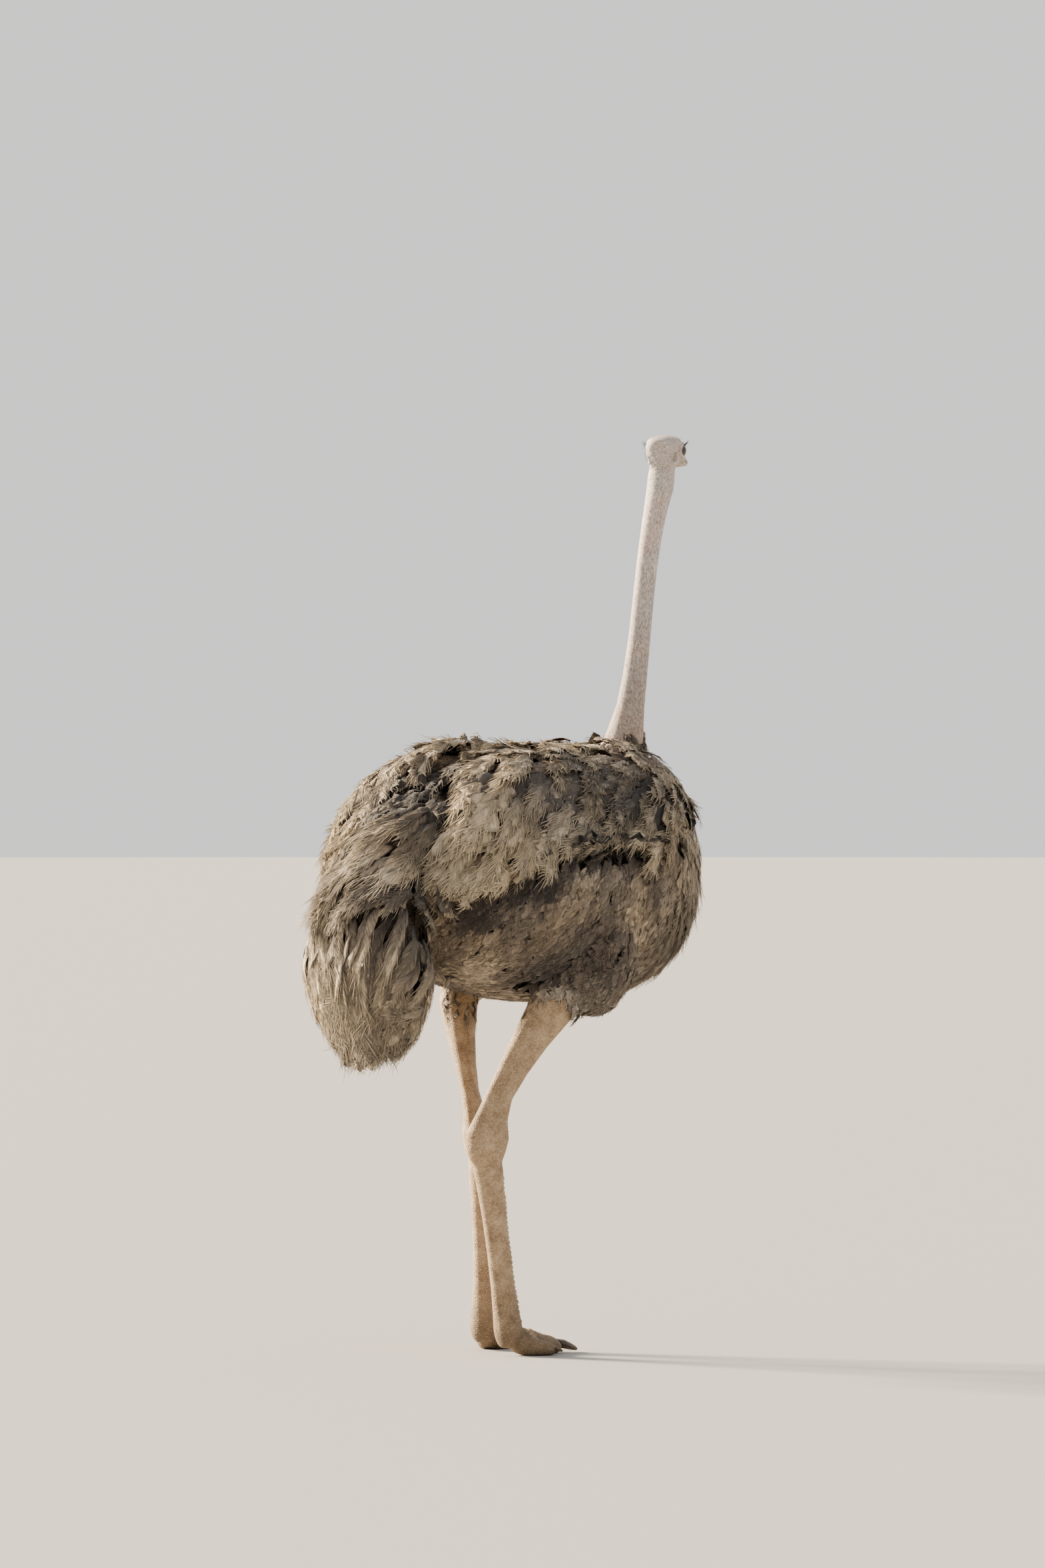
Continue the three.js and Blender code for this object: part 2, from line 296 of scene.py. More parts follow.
def coat_depth(points):
    """How deep the skin lies under the outline: deepest in the tail, shallow at neck and thighs."""
    in_tail = smoothstep(tail_mid[1] - tail_half[1], tail_mid[1], points[:, 1])
    low_in_tail = in_tail * smoothstep(tail_mid[2] + 0.1, tail_mid[2] - 0.2, points[:, 2])
    depth = COAT_DEPTH * (1 + 0.15 * in_tail + 0.7 * low_in_tail)
    bare = near(points, neck_root, 0.06, 0.16)
    for side in SIDES:
        bare = np.maximum(bare, near(points, box_middle(f"thigh_{side}")[0] - [0, 0, 0.05], 0.08, 0.2))
    return depth * (1 - 0.65 * bare)


def eaten_away(mesh, steps, voxel):
    """The mesh moved inwards by the coat's depth in small steps."""
    for _ in range(steps):
        points = points_of(mesh)
        put_points(mesh, points - normals_of(mesh) * coat_depth(points)[:, None] / steps)
        mesh = relaxed(fused(mesh, voxel), 2)
    return mesh


body_skin = fused(with_balls(together(FEATHERED, SWELL), neck_balls), 12 * MM)
body_skin = relaxed(eaten_away(body_skin, 4, 12 * MM), 10)
print("body skin:", len(body_skin.polygons), "faces")

# %% [markdown]
# The legs, the neck and the head carry little or no coat, so their skin keeps close to the
# solids and has finer faces, finest on the head. The neck's skin is drawn in by a hair where
# it runs inside the head's, so that the two can be joined without their surfaces touching.

# %% The legs' skin
LEG_VOXEL = 4.0 * MM
BARE = ["shank", "tarsus", "toe_big", "toe_small"]


def leg_skin(side):
    """The skin of one leg from the thigh to the toes, flat where it stands on the floor."""
    source = with_balls(together([f"{part}_{side}" for part in BARE], SWELL), shank_balls(side))
    mesh = relaxed(fused(source, LEG_VOXEL), 40)
    points = points_of(mesh) - normals_of(mesh) * 2 * SWELL
    points[:, 2] = np.maximum(points[:, 2], 0)
    put_points(mesh, points)
    return mesh


leg_skins = {side: leg_skin(side) for side in SIDES}
for side, mesh in leg_skins.items():
    print(side, "leg skin:", len(mesh.polygons), "faces")

# %% The head's own frame
eye_mid = {side: box_middle(f"eye_{side}")[0] for side in SIDES}
EYE_RADIUS = float(box_middle("eye_left")[1][2])
head_centre = (eye_mid["left"] + eye_mid["right"]) / 2
head_left = eye_mid["left"] - eye_mid["right"]
EYE_SPREAD = float(np.linalg.norm(head_left)) / 2
head_left = head_left / (2 * EYE_SPREAD)
head_up = np.array([0.0, 0, 1])
head_forward = np.cross(head_left, head_up)
head_axes = np.array([head_left, head_forward, head_up])
print("eyes of radius", round(EYE_RADIUS / MM, 1), "mm,", round(2 * EYE_SPREAD / MM, 1), "mm apart")


def to_head(points):
    """Places in the head's frame: sideways (left is positive), forwards and up."""
    return (np.atleast_2d(points) - head_centre) @ head_axes.T


def from_head(places):
    """Places in the head's frame as points of the scene."""
    return np.atleast_2d(places) @ head_axes + head_centre


# %% The neck's and head's skin
NECK_VOXEL = 3.6 * MM
HEAD_VOXEL = 1.9 * MM
DOWN_DEPTH = 2 * MM
BILL_COVER = 72 * MM
SKULL_ROUNDS = 40
BILL_SWELL = 3.4 * MM
COLLAR_LAP = 5 * MM
COLLAR_STEP = 0.6 * MM
NECK = ["neck_lower", "neck_middle", "neck_upper"]
collar_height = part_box("head")[0].z - 0.012


def sliced(mesh, height, keep):
    """The part of a closed mesh above (keep is 1) or below (keep is -1) a height, closed again."""
    with opened(mesh) as work:
        everything = work.verts[:] + work.edges[:] + work.faces[:]
        bmesh.ops.bisect_plane(
            work, geom=everything, plane_co=(0, 0, height), plane_no=(0, 0, keep), clear_inner=True
        )
        bmesh.ops.holes_fill(work, edges=[e for e in work.edges if e.is_boundary])
    return mesh


def drawn_in(mesh, depth):
    """The mesh moved inwards."""
    put_points(mesh, points_of(mesh) - normals_of(mesh) * depth)
    return mesh


def with_bill_base(mesh):
    """Adds the hind part of the bill to a mesh, so that the skin reaches out over it."""
    total = bmesh.new()
    for name in ("bill_upper", "bill_lower"):
        total.from_mesh(frame["nodes"][name].data)
    bmesh.ops.remove_doubles(total, verts=total.verts, dist=1e-6)
    everything = total.verts[:] + total.edges[:] + total.faces[:]
    cut_at = from_head([0, BILL_COVER, 0])[0]
    bmesh.ops.bisect_plane(total, geom=everything, plane_co=cut_at, plane_no=head_forward, clear_outer=True)
    bmesh.ops.holes_fill(total, edges=[e for e in total.edges if e.is_boundary])
    total.normal_update()
    for vert in total.verts:
        vert.co += vert.normal * BILL_SWELL
    total.from_mesh(mesh)
    total.to_mesh(mesh)
    total.free()
    return mesh


whole_neck = fused(with_balls(together(NECK, SWELL), neck_balls[:2]), NECK_VOXEL)
neck_skin = drawn_in(relaxed(whole_neck, 60), DOWN_DEPTH + SWELL + COLLAR_STEP)
neck_skin = sliced(neck_skin, collar_height + COLLAR_LAP, -1)
HEAD = ["neck_upper", "head", "eye_left", "eye_right"]
head_skin = relaxed(fused(with_bill_base(together(HEAD, SWELL)), HEAD_VOXEL), 60)
places = to_head(points_of(head_skin)) / MM
on_skull = smoothstep(44, 28, places[:, 1]) * smoothstep(-50, -36, places[:, 2])
head_skin = drawn_in(relaxed(head_skin, SKULL_ROUNDS, 0.5, 0.5, weight=on_skull), DOWN_DEPTH + SWELL)
print("neck skin:", len(neck_skin.polygons), "faces, head skin:", len(head_skin.polygons), "faces")

# %% [markdown]
# ## The head
#
# An ostrich's head is small and flat on top, and its eyes are the largest of any land
# animal's, so they shape it: each stands in a shallow hollow under a low brow, between thick
# wrinkled lids. Behind and below the eye is the open ear, and the gape runs back from the
# bill under the lores. These folds are too small for the solids, so the skin's points are
# moved in the head's own frame: sideways, forwards and up from the middle between the eyes.

# %% Round an eye
EYE_FORWARD = 0.22
EYE_DOWN = 0.06


def around_eye(places, side):
    """The angle from the eye's axis in degrees, the angle round it, and the distance from its middle."""
    sign = SIDES[side]
    axis = np.array([sign, EYE_FORWARD, -EYE_DOWN])
    axis /= np.linalg.norm(axis)
    front = np.cross(np.cross(axis, [0, 1, 0]), axis)
    front /= np.linalg.norm(front)
    top = np.cross(front, axis) * (1 if np.cross(front, axis)[2] > 0 else -1)
    offset = places - np.array([sign * EYE_SPREAD, 0, 0])
    distance = np.linalg.norm(offset, axis=1)
    angle = np.degrees(np.arccos(np.clip(offset @ axis / np.maximum(distance, 1e-9), -1, 1)))
    turn = np.arctan2(offset @ top, offset @ front)
    return angle, turn, distance, (axis, front, top)


# %% The eye's opening
OPEN_WIDE = 50
OPEN_HIGH = 39


def opening(turn):
    """How many degrees from the eye's axis the lids' edge lies: an almond with soft corners."""
    high = np.where(np.sin(turn) > 0, OPEN_HIGH, OPEN_HIGH - 3)
    almond = 1 / np.sqrt((np.cos(turn) / OPEN_WIDE) ** 2 + (np.sin(turn) / high) ** 2)
    corner = smoothstep(0.8, 1.0, np.abs(np.cos(turn)))
    return almond + 2.5 * corner


# %% Folds of the head's skin
BASE_COVER = 1.2
CROWN_DROP = 7 * MM
NAPE_DRAW = 7 * MM
EAR = (-38, -16)
SOCKET_RIM = 1.3
SOCKET_DROP = 3.4


def bell(value, middle, width):
    """1 at the middle, fading to nothing over a few widths."""
    return np.exp(-(((value - middle) / width) ** 2))


def sculpted(mesh):
    """The head's skin with sockets, brows, ears, gape and neck folds."""
    points = points_of(mesh)
    normals = normals_of(mesh) @ head_axes.T
    places = to_head(points)
    side, ahead, up = (places / MM).T
    out = np.abs(side)
    move = np.zeros(len(places))
    flank_of_head = smoothstep(12, 28, out)
    move += 2.6 * bell(up, 24, 6) * bell(ahead, 6, 22) * flank_of_head
    move -= 1.6 * bell(up, 13, 5) * bell(ahead, 44, 12) * flank_of_head
    along_gape = smoothstep(4, 20, ahead) * smoothstep(80, 66, ahead)
    gape_line = -22 - 0.1 * (50 - ahead)
    move -= 3.2 * bell(up, gape_line, 2.4) * along_gape
    move += 1.2 * (bell(up, gape_line - 6, 3) + 0.7 * bell(up, gape_line + 6, 3)) * along_gape
    move += BASE_COVER * smoothstep(30, 56, ahead)
    from_ear = np.hypot(ahead - EAR[0], (up - EAR[1]) * 0.8)
    at_ear = smoothstep(16, 24, out)
    move += at_ear * (2.2 * bell(from_ear, 10.5, 3) - 10 * smoothstep(8, 4, from_ear))
    move -= 1.5 * bell(up, -4, 9) * bell(ahead, -58, 10)
    for turn in range(3):
        move -= 0.8 * bell(up + 0.4 * (ahead + 12), -34 - 8 * turn, 2.2) * smoothstep(10, -20, ahead)
    move *= smoothstep(-60, -46, up)
    places = places + normals * (move * MM)[:, None]
    places[:, 2] -= CROWN_DROP * smoothstep(14, 42, up)
    drawn = NAPE_DRAW * smoothstep(-38, -66, ahead)
    places[:, 1] += drawn * smoothstep(6, -24, up) * smoothstep(-62, -44, up)
    for which, sign in SIDES.items():
        angle, turn, distance, _ = around_eye(places, which)
        edge = opening(turn)
        socket = EYE_RADIUS + (SOCKET_RIM - SOCKET_DROP * smoothstep(edge + 13, edge + 7, angle)) * MM
        grip = smoothstep(edge + 46, edge + 21, angle) * smoothstep(54 * MM, 40 * MM, distance)
        grip = grip * (places[:, 0] * sign > 0.008)
        middle = np.array([sign * EYE_SPREAD, 0, 0])
        moved = distance + (socket - distance) * grip
        places = middle + (places - middle) * (moved / np.maximum(distance, 1e-9))[:, None]
    put_points(mesh, from_head(places))
    return sliced(mesh, collar_height, 1)


# %% The lids
LID_TURNS = 112
LID_REACH = 19
LID_SECTION = [
    # share of the way out from the edge, height above the eyeball in mm
    (0.04, 0.35), (0.0, 0.9), (0.03, 1.6), (0.12, 2.3), (0.25, 2.5), (0.36, 2.0), (0.47, 2.5),
    (0.6, 2.5), (0.69, 2.0), (0.78, 2.4), (0.88, 2.2), (0.95, 1.0), (1.0, -0.9), (0.7, -0.9), (0.35, 0.2),
]


def lid_ring(side):
    """One eye's two lids as a closed ring of skin with folds along it, tucked under the skin round it."""
    _, _, _, (axis, front, top) = around_eye(np.zeros((1, 3)), side)
    middle = np.array([SIDES[side] * EYE_SPREAD, 0, 0])
    turn = np.linspace(0, 2 * np.pi, LID_TURNS, endpoint=False)
    edge = opening(turn)
    random = np.random.default_rng(SIDES[side] + 5)
    ripples = (random.uniform(-1, 1) * np.sin(k * turn + random.uniform(0, 6.3)) for k in (3, 5, 8, 13))
    ripple = sum(ripples) * 0.12
    rows = []
    for share, height in LID_SECTION:
        angle = np.radians(edge + LID_REACH * share * (1 + 0.12 * ripple))
        radius = EYE_RADIUS + (height + ripple * (height > 1)) * MM
        ring = np.cos(turn)[:, None] * front + np.sin(turn)[:, None] * top
        spoke = np.cos(angle)[:, None] * axis + np.sin(angle)[:, None] * ring
        rows.append(middle + radius[:, None] * spoke)
    sections = len(rows)
    points = from_head(np.array(rows).reshape(-1, 3))
    faces = []
    for k in range(sections):
        for j in range(LID_TURNS):
            a, b = k * LID_TURNS + j, k * LID_TURNS + (j + 1) % LID_TURNS
            c = (k + 1) % sections * LID_TURNS
            faces.append((a, b, c + b - k * LID_TURNS, c + a - k * LID_TURNS))
    mesh = bpy.data.meshes.new("lids")
    mesh.from_pydata(points.tolist(), [], faces)
    with opened(mesh) as work:
        bmesh.ops.recalc_face_normals(work, faces=work.faces)
    return mesh


lids = {side: lid_ring(side) for side in SIDES}
head_skin = sculpted(head_skin)
print("lids:", {side: len(mesh.polygons) for side, mesh in lids.items()})

# %% [markdown]
# ## The skin
#
# Body, legs and neck are joined by a boolean union, and the creases where they meet are
# smoothed away. A union joins only what overlaps. The top of the right leg stops some 5 mm
# short of the body, so that leg stays a closed body of its own.

# %% The joined skin
def largest_part(mesh):
    """The mesh without any loose crumbs beside its largest part."""
    with opened(mesh) as work:
        left = set(work.verts)
        best = set()
        while left:
            edge_of_search = [left.pop()]
            part = set(edge_of_search)
            while edge_of_search:
                vert = edge_of_search.pop()
                for edge in vert.link_edges:
                    other = edge.other_vert(vert)
                    if other in left:
                        left.discard(other)
                        part.add(other)
                        edge_of_search.append(other)
            best = max(best, part, key=len)
        bmesh.ops.delete(work, geom=[v for v in work.verts if v not in best], context="VERTS")
    return mesh


def united(base, others):
    """The boolean union of meshes."""
    helpers = [new_object("helper", mesh) for mesh in others]
    how = {"operation": "UNION", "solver": "MANIFOLD"}
    steps = [("BOOLEAN", {**how, "object": helper}) for helper in helpers]
    result = applied(base, *steps)
    for helper in helpers:
        bpy.data.objects.remove(helper)
    return result


COLLAR_BAND = 20 * MM
COLLAR_CLEAR = 4 * MM


def smooth_collar(mesh):
    """Lays the skin where neck and head meet on one smooth surface fitted to both sides of the join."""
    points = points_of(mesh)
    above = points[:, 2] - collar_height
    band = np.abs(above) < COLLAR_BAND
    ring, level = points[band], above[band] / COLLAR_BAND
    sure = np.abs(ring[:, 2] - collar_height) > COLLAR_CLEAR
    path = np.stack([level**0, level], 1)
    middle = path @ np.linalg.lstsq(path[sure], ring[sure, :2], rcond=None)[0]
    turn = np.arctan2(*(ring[:, :2] - middle).T)
    radius = np.hypot(*(ring[:, :2] - middle).T)
    waves = [np.ones(len(turn))] + [shape(k * turn) for k in range(1, 6) for shape in (np.cos, np.sin)]
    terms = np.stack([wave_row * level**power for wave_row in waves for power in range(4)], 1)
    fitted = terms @ np.linalg.lstsq(terms[sure], radius[sure], rcond=None)[0]
    share = smoothstep(1.0, 0.45, np.abs(level))
    moved = 1 + share * (fitted / radius - 1)
    points[np.flatnonzero(band)[:, None], [0, 1]] = middle + (ring[:, :2] - middle) * moved[:, None]
    put_points(mesh, points)
    print("collar: moved by up to", round(float(np.abs(radius * (moved - 1)).max()) / MM, 2), "mm")


def bridged_collar(mesh):
    """Cuts out the narrow ring of slivers where neck and head overlap and bridges the gap."""
    with opened(mesh) as work:
        at_collar = {v for v in work.verts if abs(v.co.z - collar_height) < COLLAR_CLEAR / 2}
        slivers = [f for f in work.faces if not at_collar.isdisjoint(f.verts)]
        bmesh.ops.delete(work, geom=slivers, context="FACES")
        bmesh.ops.bridge_loops(work, edges=[e for e in work.edges if e.is_boundary])
        bmesh.ops.recalc_face_normals(work, faces=work.faces)
        still_open = sum(len(e.link_faces) != 2 for e in work.edges)
        print("collar: cut out", len(slivers), "faces; open edges left:", still_open)


skin_mesh = united(largest_part(body_skin), [*leg_skins.values(), neck_skin, head_skin, *lids.values()])
skin_points = points_of(skin_mesh)
at_joins = near(skin_points, neck_balls[1][0], 0.07, 0.13)
for side in SIDES:
    at_joins = np.maximum(at_joins, near(skin_points, shank_balls(side)[0][0], 0.1, 0.16))
relaxed(skin_mesh, 60, weight=at_joins)
bridged_collar(skin_mesh)
smooth_collar(skin_mesh)
skin_mesh.name = "skin"
skin = new_object("skin", skin_mesh)
skin_triangles = sum(len(p.vertices) - 2 for p in skin_mesh.polygons)
print("skin:", len(skin_mesh.polygons), "faces,", skin_triangles, "triangles")

# %% [markdown]
# ## An unwrap of the skin
#
# Every tuft of the coat takes its place in a picture of the skin's colours from where its
# root stands, so the skin is unwrapped once, and a root's place is read off the face under it.

# %% Unwrapping the skin
def unwrap(piece):
    """Unwraps a piece's faces into flat islands."""
    for other in bpy.context.selected_objects:
        other.select_set(False)
    bpy.context.view_layer.objects.active = piece
    piece.select_set(True)
    bpy.ops.object.mode_set(mode="EDIT")
    bpy.ops.mesh.select_all(action="SELECT")
    bpy.ops.uv.smart_project(angle_limit=math.radians(66), island_margin=0.002)
    bpy.ops.object.mode_set(mode="OBJECT")
    piece.data.uv_layers.active.name = "OFBake"


unwrap(skin)
skin_tree = tree_of(skin_mesh)
skin_corners = np.zeros(2 * len(skin_mesh.loops), np.float32)
skin_mesh.uv_layers["OFBake"].data.foreach_get("uv", skin_corners)
skin_corners = skin_corners.reshape(-1, 2)


def root_places(roots):
    """The places on the unwrap of the skin's face nearest to each root."""
    places = []
    for root in roots:
        _, _, index, _ = skin_tree.find_nearest(Vector(root))
        face = skin_mesh.polygons[index]
        places.append(skin_corners[face.loop_start : face.loop_start + face.loop_total].mean(0))
    return np.array(places)


print("unwrapped the skin into", len(skin_corners), "corners")

# %% [markdown]
# ## How a plume is made
#
# An ostrich's feathers can't fly. Their barbs have no hooks to zip them into a stiff blade, so
# a body feather is a limp soft vane with a frayed rim. A flat card would look like a scale,
# and single hairs would be too many and show bare skin between. So a plume here is both: a
# thin cupped vane with an uneven rim, which covers, and a fan of tapering barb locks that lie
# on it, spring from its shaft and fray past its rim. All plumes of a region are worked out
# together as arrays, and become closed meshes.

# %% Growing points
SEED = 7


def surface_samples(mesh, count, random):
    """Random points on a mesh, even by area, with the normal at each."""
    mesh.calc_loop_triangles()
    corners = np.zeros(3 * len(mesh.loop_triangles), np.int32)
    mesh.loop_triangles.foreach_get("vertices", corners)
    corners = corners.reshape(-1, 3)
    a, b, c = (points_of(mesh)[corners[:, k]] for k in range(3))
    cross = np.cross(b - a, c - a)
    area = np.linalg.norm(cross, axis=1)
    pick = random.choice(len(area), count, p=area / area.sum())
    u, v = random.random((2, count))
    flip = u + v > 1
    u[flip], v[flip] = 1 - u[flip], 1 - v[flip]
    spots = a[pick] + u[:, None] * (b - a)[pick] + v[:, None] * (c - a)[pick]
    return spots, cross[pick] / area[pick, None]


def spread_out(points, spacing):
    """Which points to keep so that none stands closer to an earlier one than its spacing."""
    kept = []
    cells = {}
    size = float(spacing.max())
    for i, (point, gap) in enumerate(zip(points, spacing)):
        cell = tuple(np.floor(point / size).astype(int))
        close = [
            j
            for dx in (-1, 0, 1)
            for dy in (-1, 0, 1)
            for dz in (-1, 0, 1)
            for j in cells.get((cell[0] + dx, cell[1] + dy, cell[2] + dz), ())
        ]
        if close and (((points[close] - point) ** 2).sum(1) < gap * gap).any():
            continue
        cells.setdefault(cell, []).append(i)
        kept.append(i)
    return np.array(kept, int)


# %% Laying the shafts along the body
SHAFT_STEPS = 8


def unit(vectors):
    """Vectors of length one."""
    return vectors / np.maximum(np.linalg.norm(vectors, axis=-1, keepdims=True), 1e-9)


def laid_shafts(starts, lengths, flow, tree, cliff=0.5, droop=0.35):
    """Lines that follow the flow over a surface. Where it drops away they hang on freely."""
    paths = np.zeros((len(starts), SHAFT_STEPS + 1, 3))
    ups = np.zeros_like(paths)
    for i, (start, length) in enumerate(zip(starts, lengths)):
        place, normal, _, _ = tree.find_nearest(Vector(start))
        step = length / SHAFT_STEPS
        heading = None
        free = False
        for j in range(SHAFT_STEPS + 1):
            paths[i, j], ups[i, j] = place, normal
            if free:
                heading = (heading + Vector((0, 0, -droop))).normalized()
                side = normal.cross(heading)
                normal = heading.cross(side).normalized()
                place = place + heading * step
                continue
            wish = Vector(flow(place, normal, i))
            wish -= normal * wish.dot(normal)
            wish = wish.normalized() if wish.length > 1e-6 else (heading or Vector((0, 0, -1)))
            heading = wish if heading is None else (heading * 0.5 + wish * 0.5).normalized()
            ahead = place + heading * step
            near_place, near_normal, _, _ = tree.find_nearest(ahead)
            drop = (near_place - ahead).dot(normal)
            if near_normal.dot(normal) < cliff or drop < -0.7 * step:
                free = True
                place = ahead
            else:
                place, normal = near_place, near_normal
    return paths, ups


def plume_frames(shafts, ups, twist):
    """The ways ahead, across and over at each step of each shaft, turned about it by its twist."""
    ahead = unit(np.gradient(shafts, axis=1))
    across = unit(np.cross(ahead, ups))
    over = np.cross(across, ahead)
    turn = twist[:, None, None]
    return ahead, across * np.cos(turn) + over * np.sin(turn), over * np.cos(turn) - across * np.sin(turn)


def along_shaft(values, share):
    """Values (plumes, steps, 3) at shares (plumes, ...) of each shaft's length."""
    spot = np.clip(share, 0, 1).reshape(len(values), -1) * SHAFT_STEPS
    low = np.minimum(spot.astype(int), SHAFT_STEPS - 1)
    part = (spot - low)[..., None]
    rows = np.arange(len(values))[:, None]
    mixed = values[rows, low] * (1 - part) + values[rows, low + 1] * part
    return mixed.reshape(*share.shape, 3)


# %% Closed bodies from rows of rings
def ring_faces(count, ring, rows):
    """Faces of bodies made of rows of rings: quads along, a point at the tip, a cap at the root."""
    here = np.arange(ring)
    after = (here + 1) % ring
    first = np.arange(rows - 1)[:, None] * ring
    quads = np.stack([first + here, first + after, first + ring + after, first + ring + here], -1)
    last = ring * (rows - 1)
    tip = np.stack([last + here, last + after, np.full(ring, ring * rows)], -1)
    cap = np.stack([np.zeros(ring - 2, int), here[2:], here[1:-1]], -1)
    tris = np.vstack([tip, cap])
    offsets = np.arange(count)[:, None, None] * (ring * rows + 1)
    return (quads.reshape(-1, 4)[None] + offsets).reshape(-1, 4), (tris[None] + offsets).reshape(-1, 3)


def with_tips(rings, tips):
    """Rows of rings (bodies, rows, ring, values) and a tip each (bodies, values) as one list."""
    count, values = len(rings), rings.shape[-1]
    bodies = [rings.reshape(count, -1, values), tips.reshape(count, 1, values)]
    return np.concatenate(bodies, 1).reshape(-1, values)


def closed_bodies(values, tip):
    """
    Points, quads and triangles of bodies. The values are a dict of arrays (bodies, rows, ring,
    values) with the places under 'at'. Of the last row only the value numbered tip is used.
    """
    count, rows, ring, _ = values["at"].shape
    quads, tris = ring_faces(count, ring, rows - 1)
    return {key: with_tips(each[:, :-1], each[:, -1, tip]) for key, each in values.items()}, quads, tris


# %% The vane of a plume
VANE_ROWS = 7
VANE_ACROSS = np.array([-1, -0.5, 0, 0.5, 1, 0])
VANE_RAISE = np.array([0, 0.8, 1, 0.8, 0, -0.6]) * 0.6 * MM
VANE_SIDE = np.array([0, 0, 0, 1, 1, 0])
BARB_SLOPE = 1.5


def vane_bodies(shafts, frames, look, random):
    """Thin cupped vanes with an uneven rim, one to a shaft."""
    _, across, over = frames
    plumes = len(shafts)
    t = np.arange(VANE_ROWS + 1) / VANE_ROWS
    profile = smoothstep(-0.25, 0.4, t) * np.sqrt(1 - t**4)
    uneven = 1 + look["notches"] * random.normal(size=(plumes, VANE_ROWS + 1, 2))
    half = look["vane"] * look["width"][:, None, None] / 2 * profile[:, None] * uneven[..., VANE_SIDE]
    out = VANE_ACROSS * half
    run = look["bare_quill"] + (0.95 - look["bare_quill"]) * t
    share = run[:, None] + 0.05 * np.abs(VANE_ACROSS) * (1 - t[:, None]) * np.ones((plumes, 1, 1))
    cup = look["cup"] * VANE_ACROSS**2 * half
    ripple = look["ripple"] * random.normal(size=(plumes, VANE_ROWS + 1, 6))
    ripple[..., 5] = ripple[..., 2]
    up = along_shaft(over, share)
    at = along_shaft(shafts, share) + along_shaft(across, share) * out[..., None]
    at += up * (VANE_RAISE * np.sqrt(profile[:, None]) - cup + ripple)[..., None]
    at[..., 2] -= look["sag"] * run[:, None] ** 2
    ones_like = np.ones_like(out)
    distance = np.abs(out) * 1000
    barb = share * look["length"][:, None, None] * 1000 - BARB_SLOPE * distance
    seed = 100 * random.random((plumes, 1, 1)) * ones_like
    grain = np.stack([0.55 * barb, 0.05 * distance + 40 * (VANE_ACROSS > 0), seed], -1)
    paint = np.stack([share, np.abs(VANE_ACROSS) * ones_like], -1)
    plume = np.arange(plumes)[:, None, None, None] * ones_like[..., None]
    values = {"at": at, "up": up, "grain": grain, "paint": paint, "plume": plume, "lock": plume * 0 + 0.5}
    return closed_bodies(values, 2)


# %% The barb locks of a plume
LOCK_STEPS = 3
LOCK_HALF = np.array([0.5, 1.0, 0.85])
LOCK_ACROSS = np.array([-1, 0, 1])
LOCK_RAISE = np.array([0, 1, 0])
FLATNESS = 0.45
SHAFT_HALF = 0.8 * MM


